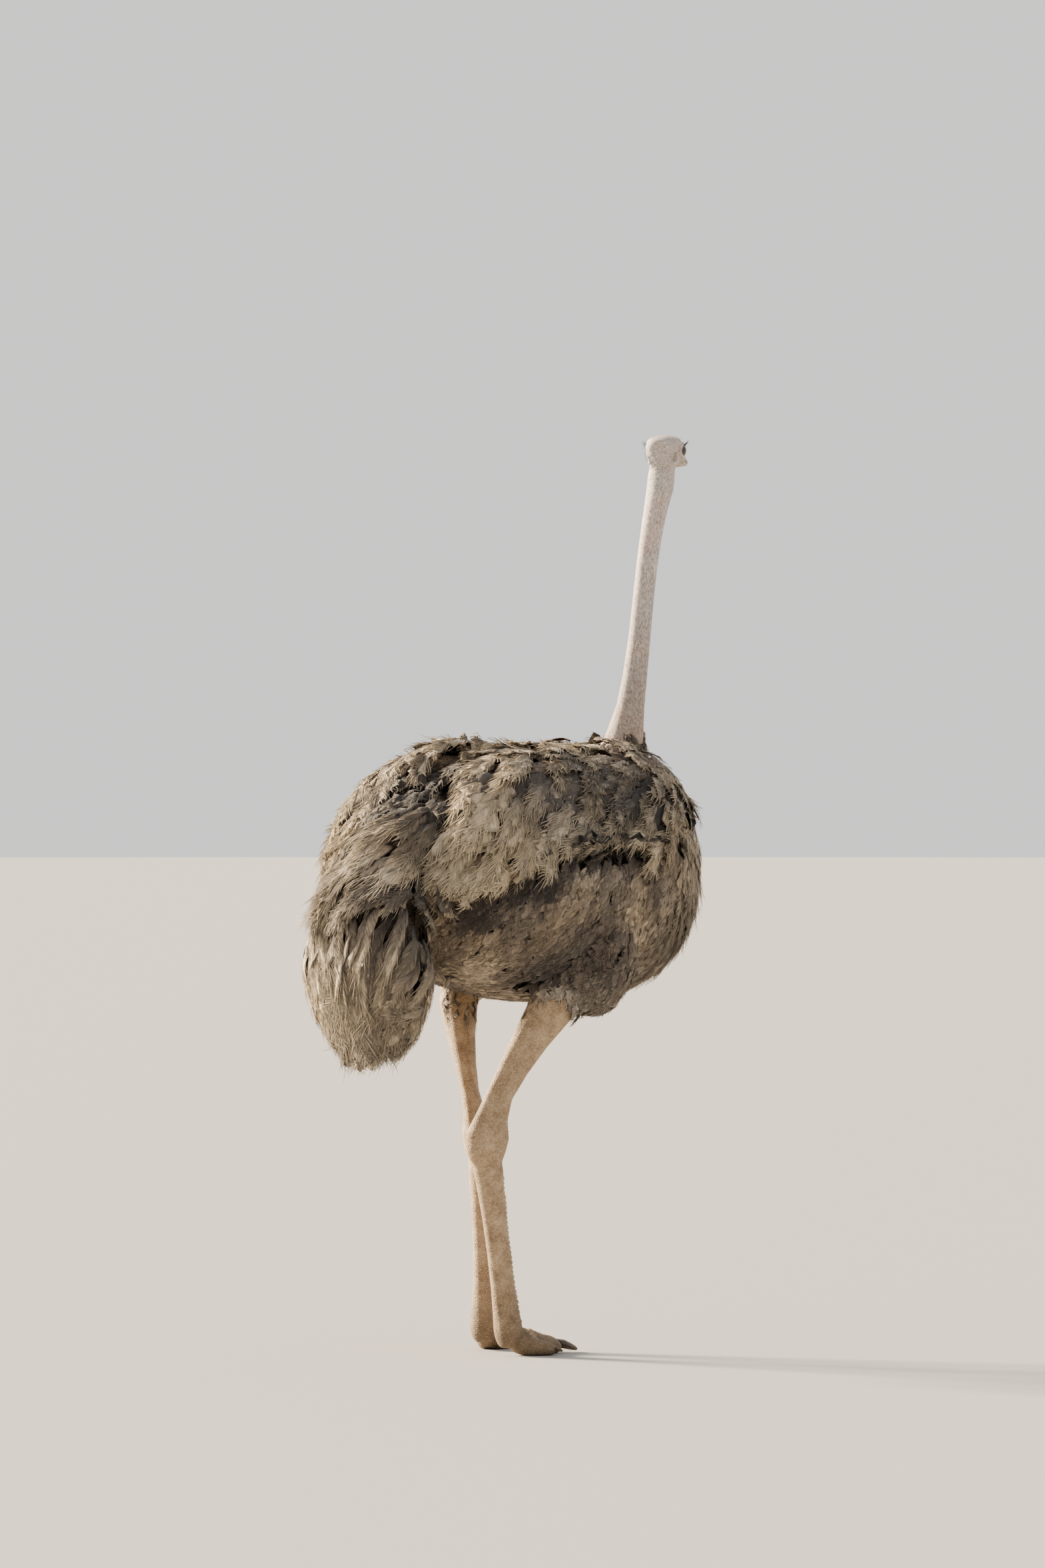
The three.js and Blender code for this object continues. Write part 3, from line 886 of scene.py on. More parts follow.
def lock_bodies(shafts, frames, look, random):
    """Tapering barb locks that spring from the shafts. The first of each plume is its shaft."""
    ahead, across, over = frames
    plumes, locks = len(shafts), look["locks"]
    rank = (np.arange(locks) + random.random((plumes, locks))) / locks
    start = look["bare_quill"] + (0.96 - look["bare_quill"]) * rank**0.9
    side = np.where(np.arange(locks) % 2 == 0, 1.0, -1.0) * np.ones((plumes, 1))
    reach = look["barb_reach"] * (0.75 + 0.5 * random.random((plumes, locks))) * (1 - 0.5 * rank)
    widest = np.sin(np.pi * np.clip(0.2 + 0.76 * rank, 0, 1)) ** 0.7
    spread = look["width"][:, None] / 2 * widest * (0.5 + 0.75 * random.random((plumes, locks)))

    clump = np.arange(locks) // look["clump"]
    pull = random.normal(size=(plumes, clump.max() + 1, 3))[:, clump] * look["ragged"]
    own = random.normal(size=(plumes, locks, 3)) * look["ragged"] * 0.35

    t = np.linspace(0, 1, LOCK_STEPS + 1)
    share = start[..., None] + reach[..., None] * t
    out = side[..., None] * spread[..., None] * (1 - (1 - t) ** 1.7)
    share[:, 0] = look["bare_quill"] * 0.5 + (0.97 - look["bare_quill"] * 0.5) * t
    out[:, 0] = 0
    pull[:, 0] = own[:, 0] = 0
    wide = np.maximum(look["width"][:, None, None] / 2, 1e-6)
    cup = look["cup"] * (out / wide) ** 2 * wide
    up = along_shaft(over, share)
    past_tip = np.maximum(share - 1, 0) * look["length"][:, None, None]
    centre = (
        along_shaft(shafts, share)
        + along_shaft(ahead, share) * past_tip[..., None]
        + along_shaft(across, share) * out[..., None]
        + up * (1.2 * MM - cup)[..., None]
        + (pull + own)[:, :, None] * (t**1.6)[:, None]
    )
    centre[..., 2] -= look["sag"] * np.clip(share, 0, 1.2) ** 2
    half = look["thick"] * random.uniform(0.7, 1.25, (plumes, locks))
    half[:, 0] = SHAFT_HALF

    flow = unit(np.gradient(centre, axis=2))
    sideways = unit(np.cross(flow, up))
    upward = np.cross(sideways, flow)
    size = half[..., None] * np.append(LOCK_HALF, 0)
    width = LOCK_ACROSS * size[..., None]
    height = LOCK_RAISE * size[..., None] * FLATNESS
    at = centre[..., None, :] + sideways[..., None, :] * width[..., None]
    at += upward[..., None, :] * height[..., None]
    run = np.cumsum(np.linalg.norm(np.diff(centre, axis=2, prepend=centre[:, :, :1]), axis=-1), 2)
    even = np.ones_like(width)
    mark = random.random((plumes, locks, 1, 1)) * even
    grain = np.stack([width * 1000 + 61 * mark, 40 * run[..., None] * even, 100 * mark], -1)
    edge = np.clip(np.abs(out) / wide, 0, 1)
    paint = np.stack([np.clip(share, 0, 1)[..., None] * even, edge[..., None] * even], -1)
    plume = np.arange(plumes)[:, None, None, None] * even
    values = {
        "at": at, "up": up[..., None, :] * even[..., None], "grain": grain, "paint": paint,
        "plume": plume[..., None], "lock": mark[..., None],
    }
    return closed_bodies(
        {key: value.reshape(plumes * locks, LOCK_STEPS + 1, 3, -1) for key, value in values.items()}, 1
    )


# %% A piece of the coat from its bodies
TUFT_PATCH = 0.003
SOFTNESS = 0.6
PROUD = 20 * MM


def mesh_from_arrays(name, points, quads, tris):
    """A smooth mesh from arrays of points, quads and triangles, and its corners' points."""
    mesh = bpy.data.meshes.new(name)
    corners = np.concatenate([quads.ravel(), tris.ravel()]).astype(np.int32)
    sizes = np.concatenate([np.full(len(quads), 4), np.full(len(tris), 3)]).astype(np.int32)
    mesh.vertices.add(len(points))
    mesh.loops.add(len(corners))
    mesh.polygons.add(len(sizes))
    mesh.vertices.foreach_set("co", points.astype(np.float32).ravel())
    mesh.loops.foreach_set("vertex_index", corners)
    mesh.polygons.foreach_set("loop_start", np.concatenate([[0], np.cumsum(sizes)[:-1]]).astype(np.int32))
    mesh.polygons.foreach_set("loop_total", sizes)
    mesh.update(calc_edges=True)
    mesh.shade_smooth()
    return mesh, corners


def lay_marks(mesh, corners, values, places, tones):
    """Gives a coat mesh its unwrap patches and the marks that its colour reads."""
    plume = values["plume"][:, 0].astype(int)
    local = np.stack([values["lock"][:, 0], np.clip(values["paint"][:, 0], 0, 1)], 1)
    patch = places[plume] + (local - 0.5) * TUFT_PATCH
    mesh.uv_layers.new(name="OFBake").data.foreach_set("uv", patch[corners].astype(np.float32).ravel())
    keep_on_points(mesh, "barbs", "COLOR", np.concatenate([values["paint"], tones[plume]], 1))
    keep_on_points(mesh, "grain", "VECTOR", values["grain"])


def soften(mesh, ups):
    """Leans the upper faces' shading normals towards the plume's, as fine barbs spread light."""
    own = normals_of(mesh)
    lean = SOFTNESS * smoothstep(-0.1, 0.5, (own * ups).sum(1))[:, None]
    mesh.normals_split_custom_set_from_vertices(unit(own * (1 - lean) + ups * lean))


def held_in(points):
    """Presses points that stand far outside the solids' box back towards it."""
    over, under = np.maximum(points - cad_high, 0), np.maximum(cad_low - points, 0)
    return points - over + PROUD * np.tanh(over / PROUD) + under - PROUD * np.tanh(under / PROUD)


def coat_piece(name, sets, places, tones):
    """One mesh piece from sets of closed bodies."""
    keys = sets[0][0].keys()
    counts = np.cumsum([0] + [len(values["at"]) for values, _, _ in sets])
    values = {key: np.concatenate([part[key] for part, _, _ in sets]) for key in keys}
    quads = np.concatenate([q + n for (_, q, _), n in zip(sets, counts)])
    tris = np.concatenate([t + n for (_, _, t), n in zip(sets, counts)])
    mesh, corners = mesh_from_arrays(name, held_in(values["at"]), quads, tris)
    lay_marks(mesh, corners, values, places, tones)
    soften(mesh, values["up"])
    piece = new_object(name, mesh)
    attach(piece, "root")
    triangles = 2 * len(quads) + len(tris)
    print(f"{name}: {len(places)} plumes, {triangles} triangles")
    return triangles

# %% [markdown]
# ## The plumage, region by region
#
# The coat isn't the same all over. Short soft feathers lie almost like fur on the breast,
# flanks and thighs. The back and the small loose wings carry long shaggy plumes that hang
# over the flanks with a ragged, paler edge. The tail is a drooping bell of the longest ones.
# Each region grows from points spread over the outline, told apart by the solid nearest to
# each point.

# %% Which solid lies under a point of the outline
solid_faces, solid_points, solid_names = [], [], []
for name in GUIDES:
    copy = merged(name)
    base = len(solid_points)
    solid_points += [v.co.copy() for v in copy.verts]
    solid_faces += [tuple(base + v.index for v in face.verts) for face in copy.faces]
    solid_names += [name] * len(copy.faces)
    copy.free()
solid_tree = BVHTree.FromPolygons(solid_points, solid_faces)
solid_names = np.array(solid_names)


def nearest_solids(points):
    """The name of the solid nearest to each point."""
    return solid_names[[solid_tree.find_nearest(Vector(p))[2] for p in points]]


SPOTS = 48000
growth_random = np.random.default_rng(SEED)
spots, spot_normals = surface_samples(outline, SPOTS, growth_random)
spot_solids = nearest_solids(spots)
front_to_rear = (spots[:, 1] - trunk_mid[1]) / trunk_half[1]
low_to_high = (spots[:, 2] - trunk_mid[2]) / trunk_half[2]
print("growing points:", {name: int((spot_solids == name).sum()) for name in GUIDES})


# %% Slow waves over the coat
def wave(points, seed, size):
    """A smooth random value from about -1 to 1 that changes over about size."""
    random = np.random.default_rng(seed)
    points = np.atleast_2d(points)
    total = np.zeros(len(points))
    for _ in range(6):
        turn = unit(random.normal(size=3)) * 2 * np.pi / (size * random.uniform(1.2, 2.6))
        total += np.sin(points @ turn + random.uniform(0, 2 * np.pi))
    return total / 2.6


# %% Painted light and shade, and a few marks, on her camera side
ACROSS = np.array([-0.731, -0.682, 0.0])
FACING = np.array([-0.682, 0.731, 0.0])
PAINTED_LIGHT_AND_MARKS = {
    # way across, height, half width, half height and change of tone, for each kind of plume; most are
    # painted light and shade
    "wing": [
        # the shade over the shoulder and its lower end
        (0.092, 1.254, 0.107, 0.046, -0.16), (0.201, 1.213, 0.087, 0.052, -0.12),
        (0.254, 1.181, 0.058, 0.058, -0.12),
        # the painted shadow in the hollow between them
        (-0.140, 1.242, 0.058, 0.032, -0.40), (-0.205, 1.228, 0.075, 0.046, -0.50),
        # its pale plumes at the rear and along its edge
        (-0.093, 1.164, 0.046, 0.070, 0.20), (-0.122, 1.216, 0.067, 0.023, 0.34),
        (-0.096, 1.036, 0.087, 0.041, 0.26), (-0.036, 1.080, 0.072, 0.049, 0.16),
        (0.109, 1.143, 0.049, 0.026, 0.20), (0.172, 1.141, 0.043, 0.020, 0.20),
        # its sunlit top, and her left one's
        (0.005, 1.326, 0.145, 0.023, 0.14), (-0.212, 1.304, 0.130, 0.035, 0.20),
        (-0.350, 1.246, 0.072, 0.038, 0.24), (-0.398, 1.149, 0.043, 0.101, 0.36),
    ],
    "rump": [
        # the painted shadow in the hollow between the wings
        (-0.191, 1.228, 0.081, 0.046, -0.44), (-0.140, 1.174, 0.043, 0.058, -0.30),
        (-0.263, 1.178, 0.058, 0.049, -0.20),
        # the coverts, darker brown and in painted shade, and the painted shadow in the gap under them
        (-0.343, 1.036, 0.093, 0.046, -0.16), (-0.270, 1.007, 0.096, 0.023, -0.25),
        (-0.191, 0.993, 0.038, 0.075, -0.22),
        # their sunlit left
        (-0.437, 1.000, 0.043, 0.081, 0.30), (-0.386, 1.123, 0.038, 0.072, 0.24),
    ],
    "flank": [
        # the shadow under the wing's edge
        (0.136, 1.072, 0.151, 0.038, -0.60), (0.020, 1.014, 0.093, 0.046, -0.60),
        (-0.093, 0.955, 0.067, 0.041, -0.50), (0.251, 1.086, 0.072, 0.026, -0.40),
        # the painted shade in the gap between flank and breast, and on the belly
        (0.288, 1.022, 0.023, 0.101, -0.40), (0.092, 0.826, 0.130, 0.043, -0.24),
        (0.020, 0.906, 0.058, 0.058, -0.16), (0.201, 0.877, 0.043, 0.072, -0.16),
        # the sheen of the flank, and the glow on the thigh and the breast
        (0.143, 0.993, 0.064, 0.049, 0.10), (-0.085, 0.839, 0.041, 0.055, 0.36),
        (0.331, 1.196, 0.038, 0.101, 0.20), (0.338, 1.007, 0.035, 0.087, 0.10),
    ],
    "tail": [
        # its streaks and tip
        (-0.311, 0.932, 0.067, 0.061, 0.20), (-0.338, 0.848, 0.029, 0.055, -0.26),
        (-0.285, 0.703, 0.093, 0.041, -0.16), (-0.241, 0.833, 0.023, 0.087, -0.12),
        (-0.350, 0.619, 0.032, 0.020, -0.30),
        # its sunlit left rim, and the painted shadow in the gap under the coverts
        (-0.459, 0.833, 0.038, 0.174, 0.36), (-0.285, 0.975, 0.116, 0.017, -0.30),
    ],
}
wing_mid, wing_half = box_middle("wing_right")
wings_rear = wing_mid[1] + wing_half[1]
trunk_top = trunk_mid[2] + trunk_half[2]


def painted_light_and_marks(kind, places, ups):
    """How much paler (or darker, below 0) a kind of plume is painted on her right flank and rump: mostly
    painted light and shade, with a few real marks.
    """
    across = places @ ACROSS
    total = np.zeros(len(places))
    for middle, height, wide, tall, change in PAINTED_LIGHT_AND_MARKS[kind]:
        reach = np.hypot((across - middle) / wide, (places[:, 2] - height) / tall)
        total += change * (1 - smoothstep(0.45, 1.25, reach))
    # Only plumes that face the camera take this painted light and shade.
    return total * smoothstep(-0.35, 0.15, ups @ FACING)


def patch(points, middle, reach):
    """1 in the middle of an egg-shaped patch, 0 outside it. reach is its half size each way."""
    return 1 - smoothstep(0.45, 1.0, np.linalg.norm((points - np.array(middle)) / np.array(reach), axis=1))


hollow = patch(spots, (0.0, wings_rear - 0.16, trunk_top), (0.2, 0.26, 0.14))

# %% Growing one region
SHOWN_STEP = 5
SHORTEST = 0.05
LAID_UNDER = 0.11
HOLLOW_DROP = 8 * MM
EACH_SPOT = {"spacing", "length", "width", "lift", "tone", "pale"}
ones = np.ones(len(spots))
coat_triangles, coat_roots, coat_tones = [], [], []


def clumped(roots, gap):
    """Gathers roots into clumps: each root's clump, and the way to its middle as a share of the gap."""
    middles = spread_out(roots, np.full(len(roots), gap))
    finder = root_finder(roots[middles])
    own = np.array([finder.find(root)[1] for root in roots])
    return own, (roots[middles][own] - roots) / gap


def ended_at_rim(rows, lengths, shafts, ups, overhang, random):
    """Lengths cut so that plumes end just past their own solid's rim, and the share on it."""
    here = nearest_solids(shafts.reshape(-1, 3)).reshape(shafts.shape[:2])
    on_top = (here == spot_solids[rows][:, None]) & (ups[..., 2] > -0.1)
    steps_past = on_top[:, ::-1].argmax(1)
    share = np.where(steps_past > 0, 1 - (steps_past - 1) / SHAFT_STEPS, 2.0)
    past = overhang * random.uniform(0.5, 1.5, len(rows))
    return np.minimum(lengths, lengths * share + past), share


def kept_near(shafts, limit):
    """Draws shafts that stand farther off the solids than a limit most of the way back."""
    for place in shafts.reshape(-1, 3):
        near, normal, _, gap = solid_tree.find_nearest(Vector(place))
        out = Vector(place) - near
        if gap > limit and out.dot(normal) > 0:
            place[:] = near + out * ((limit + 0.25 * (gap - limit)) / gap)
    return shafts


def grown(name, chosen, flow_at, look, seed, cliff=0.5, swirl=0.0, wander=0.15, depth=0.8, droop=0.35):
    """Grows a region's plumes as one piece of the coat."""
    random = np.random.default_rng(seed)
    look = {key: value * ones if key in EACH_SPOT else value for key, value in look.items()}
    rows = np.flatnonzero(chosen)
    rows = rows[spread_out(spots[rows], look["spacing"][rows])]
    rows = rows[np.argsort(spots[rows, 1])]
    roots = spots[rows]
    lengths = look["length"][rows] * random.uniform(0.8, 1.15, len(rows))
    noise = random.normal(size=(len(rows), 3)) * wander
    noise += swirl * np.stack([wave(roots, seed + k, 0.2) for k in range(3)], 1)
    clump, inward = clumped(roots, look["clump_gap"])
    noise += look["pull"] * inward
    from_middle = np.linalg.norm(inward, axis=1)
    clump_lift, clump_tone = random.normal(size=(2, clump.max() + 1))[:, clump]

    def flow(place, normal, i):
        return np.array(flow_at(place)) + noise[i]

    shafts, ups = laid_shafts(roots, lengths, flow, outline_tree, cliff, droop)
    if look["overhang"]:
        lengths, on_share = ended_at_rim(rows, lengths, shafts, ups, look["overhang"], random)
        least, most = look["reaches"]
        keep = (lengths >= SHORTEST) & (on_share >= least) & (on_share <= most)
        rows, roots, lengths, noise = rows[keep], roots[keep], lengths[keep], noise[keep]
        from_middle, clump_lift, clump_tone = from_middle[keep], clump_lift[keep], clump_tone[keep]
        shafts, ups = laid_shafts(roots, lengths, flow, outline_tree, cliff, droop)
    share = np.linspace(0, 1, SHAFT_STEPS + 1)
    rise = smoothstep(0, 0.42, share)
    lift = look["lift"][rows] * (0.6 + 0.4 * wave(roots, seed + 7, 0.16) + 0.3 * random.random(len(rows)))
    lift += look["clump_lift"] * (1 + 0.6 * clump_lift - 1.2 * from_middle)
    lift *= 1 - 0.9 * hollow[rows]
    sunk = depth * coat_depth(roots)[:, None]
    laid = LAID_UNDER * coat_depth(roots)[:, None] - look["raised"] + HOLLOW_DROP * hollow[rows][:, None]
    shafts = shafts + ups * ((rise - 1) * sunk + lift[:, None] * share**2 - laid)[..., None]
    shafts = kept_near(shafts, look["proud"])
    # Painted light and shade, and a few real marks, read where each plume shows; painted light also makes
    # plumes paler, painted shade less pale.
    shown = painted_light_and_marks(look["kind"], shafts[:, SHOWN_STEP], ups[:, SHOWN_STEP])
    tone = look["tone"][rows] + look["patchy"] * wave(roots, seed + 9, 0.14) + shown
    tone += look["varied"] * random.normal(size=len(rows)) + look["clump_tone"] * clump_tone
    # Plumes at the rims of their clumps are painted darker, as painted shade in the gaps between clumps.
    tone -= 2 * look["clump_tone"] * smoothstep(0.3, 0.7, from_middle)
    pale = look["pale"][rows] * np.clip(1 + 2.2 * shown, 0, 2)
    tones = np.clip(np.stack([tone, pale], 1), 0, 1)
    mine = dict(look, length=lengths, width=look["width"][rows] * random.uniform(0.8, 1.25, len(rows)))
    frames = plume_frames(shafts, ups, look["twist"] * random.normal(size=len(rows)))
    sets = [vane_bodies(shafts, frames, mine, random), lock_bodies(shafts, frames, mine, random)]
    for values, _, _ in sets:
        values["paint"][:, 0] += look["even"] * (0.6 - values["paint"][:, 0])
    coat_triangles.append(coat_piece(name, sets, root_places(shafts[:, 0]), tones))
    coat_roots.append(shafts[:, 0])
    coat_tones.append(tones)


# %% The regions
on_wing = {side: (spot_solids == f"wing_{side}") & (spot_normals[:, 2] > -0.3) for side in SIDES}
wing_rim = ((spot_solids == "wing_right") | (spot_solids == "wing_left")) & (spot_normals[:, 2] <= -0.3)
tail_floor = tail_mid[2] - tail_half[2]
TAIL_TOP = 1.0
on_tail = (spot_solids == "tail") & (spots[:, 2] > tail_floor + 0.05)
over_tail = on_tail & (spots[:, 2] > TAIL_TOP + 0.01)
on_tail &= spots[:, 2] < TAIL_TOP + 0.045
on_trunk = spot_solids == "trunk"
on_neck = spot_solids == "neck_lower"
from_neck = np.linalg.norm((spots - neck_root)[:, :2], axis=1)
at_neck = (from_neck < 0.185) & (low_to_high > 0.3) & (front_to_rear < -0.4) & ~on_neck
RUFF_TOP = 1.33
low_neck = on_neck & (spots[:, 2] < RUFF_TOP + 0.012 * wave(spots, 3, 0.03))


def fringe_height(points, seed):
    """How far down the legs' feathers reach at points on either side, a little uneven."""
    right = 0.745 + 0.06 * smoothstep(0.14, 0.08, points @ ACROSS)
    return np.where(points[:, 0] < 0, right, 0.84) + 0.008 * wave(points, seed, 0.035)


def on_legs(solids):
    """Which of the solids' names are a leg's."""
    return np.char.startswith(solids, "thigh") | np.char.startswith(solids, "shank")


above_knee = on_legs(spot_solids) & (spots[:, 2] > fringe_height(spots, 4))
on_rump = on_trunk & (front_to_rear > 0.72) & (low_to_high > 0.15)
on_back = on_trunk & (low_to_high > 0.62) & ~on_rump
on_left = spots[:, 0] > 0
toward_rear = smoothstep(0.2, 0.85, front_to_rear)

# %% Breast, belly and flanks
fur = {
    "locks": 20, "bare_quill": 0.1, "barb_reach": 0.42, "clump": 3, "ragged": 0.003, "cup": 0.3,
    "sag": 0.002, "thick": 0.0008, "notches": 0.4, "ripple": 0.001, "twist": 0.12, "patchy": 0.22,
    "raised": 0.0, "clump_gap": 0.045, "pull": 0.5, "clump_lift": 0.002, "clump_tone": 0.04,
    "overhang": 0, "reaches": (0, 9), "proud": 0.03, "kind": "flank", "varied": 0.06, "even": 0.0,
    "vane": 0.72,
}
on_flank = on_trunk & ~on_back & ~on_rump & ~at_neck
on_breast = front_to_rear + 0.06 * wave(spots, 8, 0.1) < -0.58
flank = dict(
    fur, spacing=0.0155, length=0.09, width=0.03, lift=0.001, vane=1.0,
    tone=0.66, pale=0.12, patchy=0.2, thick=0.0005, pull=0.25, clump_lift=0.0005,
    clump_tone=0.02, notches=0.35, locks=10, twist=0.06, ragged=0.002, cup=0.1, even=0.7,
)
for side, mine in (("left", on_left), ("right", ~on_left)):
    mine = on_flank & ~on_breast & mine
    grown(f"coat_flank_{side}", mine, lambda place: (0, 1, -1.5), flank, 11 + SIDES[side], cliff=0.1)
breast = dict(
    fur, spacing=0.019, length=0.12, width=0.036, lift=0.006, tone=0.66, pale=0.3, patchy=0.28,
    locks=24, pull=0.45, clump_lift=0.005, clump_tone=0.06, ragged=0.005, vane=0.85,
)
grown("coat_breast", on_flank & on_breast, lambda place: (0, 0.7, -2), breast, 15, cliff=0.1, swirl=0.15)

# %% A layer of plain soft vanes under the shaggy plumes
under = dict(
    fur, spacing=0.028, length=0.1, width=0.052, lift=-0.006, tone=0.2,
    pale=0.0, locks=3, vane=1.0, notches=0.15, twist=0.05, kind="rump", clump_lift=0.0, pull=0.0,
)
shaggy_ground = (on_wing["left"] | on_wing["right"] | on_back | on_rump) & (from_neck > 0.14)
shaggy_ground &= (hollow < 0.25) & ((from_neck > 0.24) | (spot_normals[:, 2] < 0.75))
grown(
    "coat_under", shaggy_ground, lambda place: (0, 1, -0.7 - smoothstep(-0.16, -0.26, place.y)), under, 17,
    cliff=0.2, depth=0.6,
)

# %% Wings
shaggy = dict(
    fur, locks=28, bare_quill=0.15, ragged=0.005, sag=0.006, thick=0.0009, ripple=0.0015, twist=0.2,
    clump_gap=0.07, pull=0.75, clump_lift=0.011, clump_tone=0.09, varied=0.09,
)
# Towards the hollow between the wings the plumes are shorter and lie lower, and are painted darker and less
# pale there as painted shade.
inner_rear = toward_rear * smoothstep(0.22, 0.12, np.abs(spots[:, 0]))
wing = dict(
    shaggy, spacing=0.022, length=(0.13 + 0.06 * toward_rear) * (1 - 0.4 * inner_rear),
    width=0.042 + 0.01 * toward_rear, lift=(0.01 + 0.01 * toward_rear) * (1 - 0.7 * inner_rear),
    tone=0.76 + 0.1 * toward_rear - 0.06 * inner_rear,
    pale=(0.35 + 0.4 * toward_rear) * (1 - 0.7 * inner_rear),
    patchy=0.24, overhang=-0.025, kind="wing", proud=0.02,
)
ends = dict(
    wing, spacing=0.026, length=0.17, width=0.058, lift=0.02,
    tone=0.8, pale=0.85, locks=44, notches=0.25, cup=0.35, reaches=(0.35, 0.9), overhang=-0.012,
    pull=0.5, clump_lift=0.004,
)


def along_wing(place):
    """Backwards along a wing, and steeper towards its rear and on the shoulder."""
    return (0, 1, -0.55 - 0.5 * smoothstep(-0.2, 0.4, place.y) - 1.2 * smoothstep(-0.16, -0.26, place.y))


for side in SIDES:
    mine = on_wing[side] & ~at_neck
    number = SIDES[side]
    grown(
        f"coat_wing_{side}", mine, along_wing, wing, 21 + number,
        cliff=0.35, swirl=0.15, droop=0.6, wander=0.1
    )
    mine &= (np.abs(spots[:, 0]) > 0.1) & (spots[:, 2] < 1.28)
    grown(f"coat_wing_ends_{side}", mine, along_wing, ends, 24 + number, swirl=0.1, depth=0.4, wander=0.08)

# %% Under the wings' lower rims
# These short dark plumes are painted shade under the wings' lower edges.
rim = dict(
    fur, spacing=0.018, length=0.055, width=0.028, lift=0.0, tone=0.3,
    pale=0.0, locks=8,
)
grown("coat_wing_rims", wing_rim, lambda place: (0, 0.5, -2), rim, 27, depth=0.4)

# %% Back
# The back's plumes are painted dark as painted shade in the hollow between the wings, and lighter towards
# the shoulders.
on_shoulders = smoothstep(0.0, -0.4, front_to_rear)
back = dict(
    shaggy, kind="rump", proud=0.014, spacing=0.024, length=0.11, width=0.04, lift=0.006, locks=18,
    tone=0.25 + 0.4 * on_shoulders, pale=0.05 + 0.3 * on_shoulders,
)
grown("coat_back", on_back & ~at_neck, lambda place: (0, 1, -0.5), back, 31, swirl=0.2)

# %% The ruff round the neck's root
up_ruff = smoothstep(RUFF_TOP - 0.1, RUFF_TOP, spots[:, 2]) * on_neck
outer_ruff = smoothstep(0.1, 0.17, from_neck) * ~on_neck
ruff = dict(
    fur, spacing=0.016 - 0.008 * up_ruff, length=0.07 - 0.042 * up_ruff + 0.04 * outer_ruff,
    width=0.026 - 0.016 * up_ruff + 0.012 * outer_ruff, proud=0.012,
    lift=0.004 * (1 - up_ruff), tone=0.64 + 0.06 * up_ruff, pale=0.3, locks=16, raised=0.005,
    thick=0.0006, ragged=0.004,
)


def away_from_neck(place):
    """The way out from the neck's root and down."""
    out = place - Vector(neck_root)
    out.z = 0
    out.normalize()
    return (out.x, out.y, -0.9)


grown("coat_ruff", at_neck | low_neck, away_from_neck, ruff, 35, cliff=-0.2, swirl=0.1, depth=0.35)

# %% Thighs, down onto the shanks
thigh = dict(
    fur, spacing=0.016, length=0.05 + 0.035 * smoothstep(0.16, 0.24, spots @ ACROSS),
    width=0.026, lift=0.001, tone=0.7, pale=0.1, locks=12, raised=0.004,
    even=0.7, vane=1.0, cup=0.1,
)
grown("coat_thighs", above_knee, lambda place: (0, 0.9, -1.5), thigh, 41, wander=0.1, depth=0.4)

# %% Coverts that arch from the rump over the tail
coverts = dict(
    shaggy, spacing=0.018, length=np.clip(1.5 * (spots[:, 2] - 0.96), 0.07, 0.16), width=0.034,
    lift=0.018, tone=0.5, pale=0.35, patchy=0.36, pull=0.7, kind="rump",
)


def over_rump(place):
    """Backwards and down, fanning out, and a little to her left."""
    return (0.4 + 1.5 * place.x, 1, -0.8)


grown("coat_coverts", on_rump | over_tail, over_rump, coverts, 45, cliff=0.3, droop=0.4, swirl=0.25)

# %% The tail's bell
TAIL_TIP = Vector((0.02, 0.49, 0.5))
tail = dict(
    shaggy, spacing=0.024, length=np.clip(0.85 * (spots[:, 2] - tail_floor), 0.06, 0.27),
    width=0.046, lift=0.006, tone=0.62, pale=0.5, locks=26, ragged=0.002,
    sag=0.0, patchy=0.2, twist=0.3, pull=0.2, clump_lift=0.004, proud=0.012, notches=0.15, kind="tail",
    varied=0.13, thick=0.0007,
)


def down_the_bell(place):
    """Down the tail, closing in on its point."""
    way = TAIL_TIP - place
    return (1.5 * way.x, way.y, way.z)


grown("coat_tail", on_tail, down_the_bell, tail, 51, cliff=-0.2, swirl=0.05, wander=0.1)
print("coat:", sum(coat_triangles), "triangles")

# %% [markdown]
# ## Down, bristles and scales
#
# The neck and head wear a sparse fuzz of short hair-like feathers over the bare skin, a few
# millimetres long, that all point down the neck. Most of it is too short to show as more
# than a rough skin, so the skin's bump carries it, and thin spikes stand out from it where
# the outline would be too clean without them. Their roots are spread over the skin itself.

# %% Down of the neck and head
SPIKE_RINGS = 2
SPIKE_HALF = np.array([0.55, 0.35])
DOWN_SPOTS = 150000
down_random = np.random.default_rng(SEED + 1)
skin_spots, skin_spot_normals = surface_samples(skin_mesh, DOWN_SPOTS, down_random)
above_ruff = skin_spots[:, 2] > RUFF_TOP - 0.05
skin_spots, skin_spot_normals = skin_spots[above_ruff], skin_spot_normals[above_ruff]
print("down growing points:", len(skin_spots))


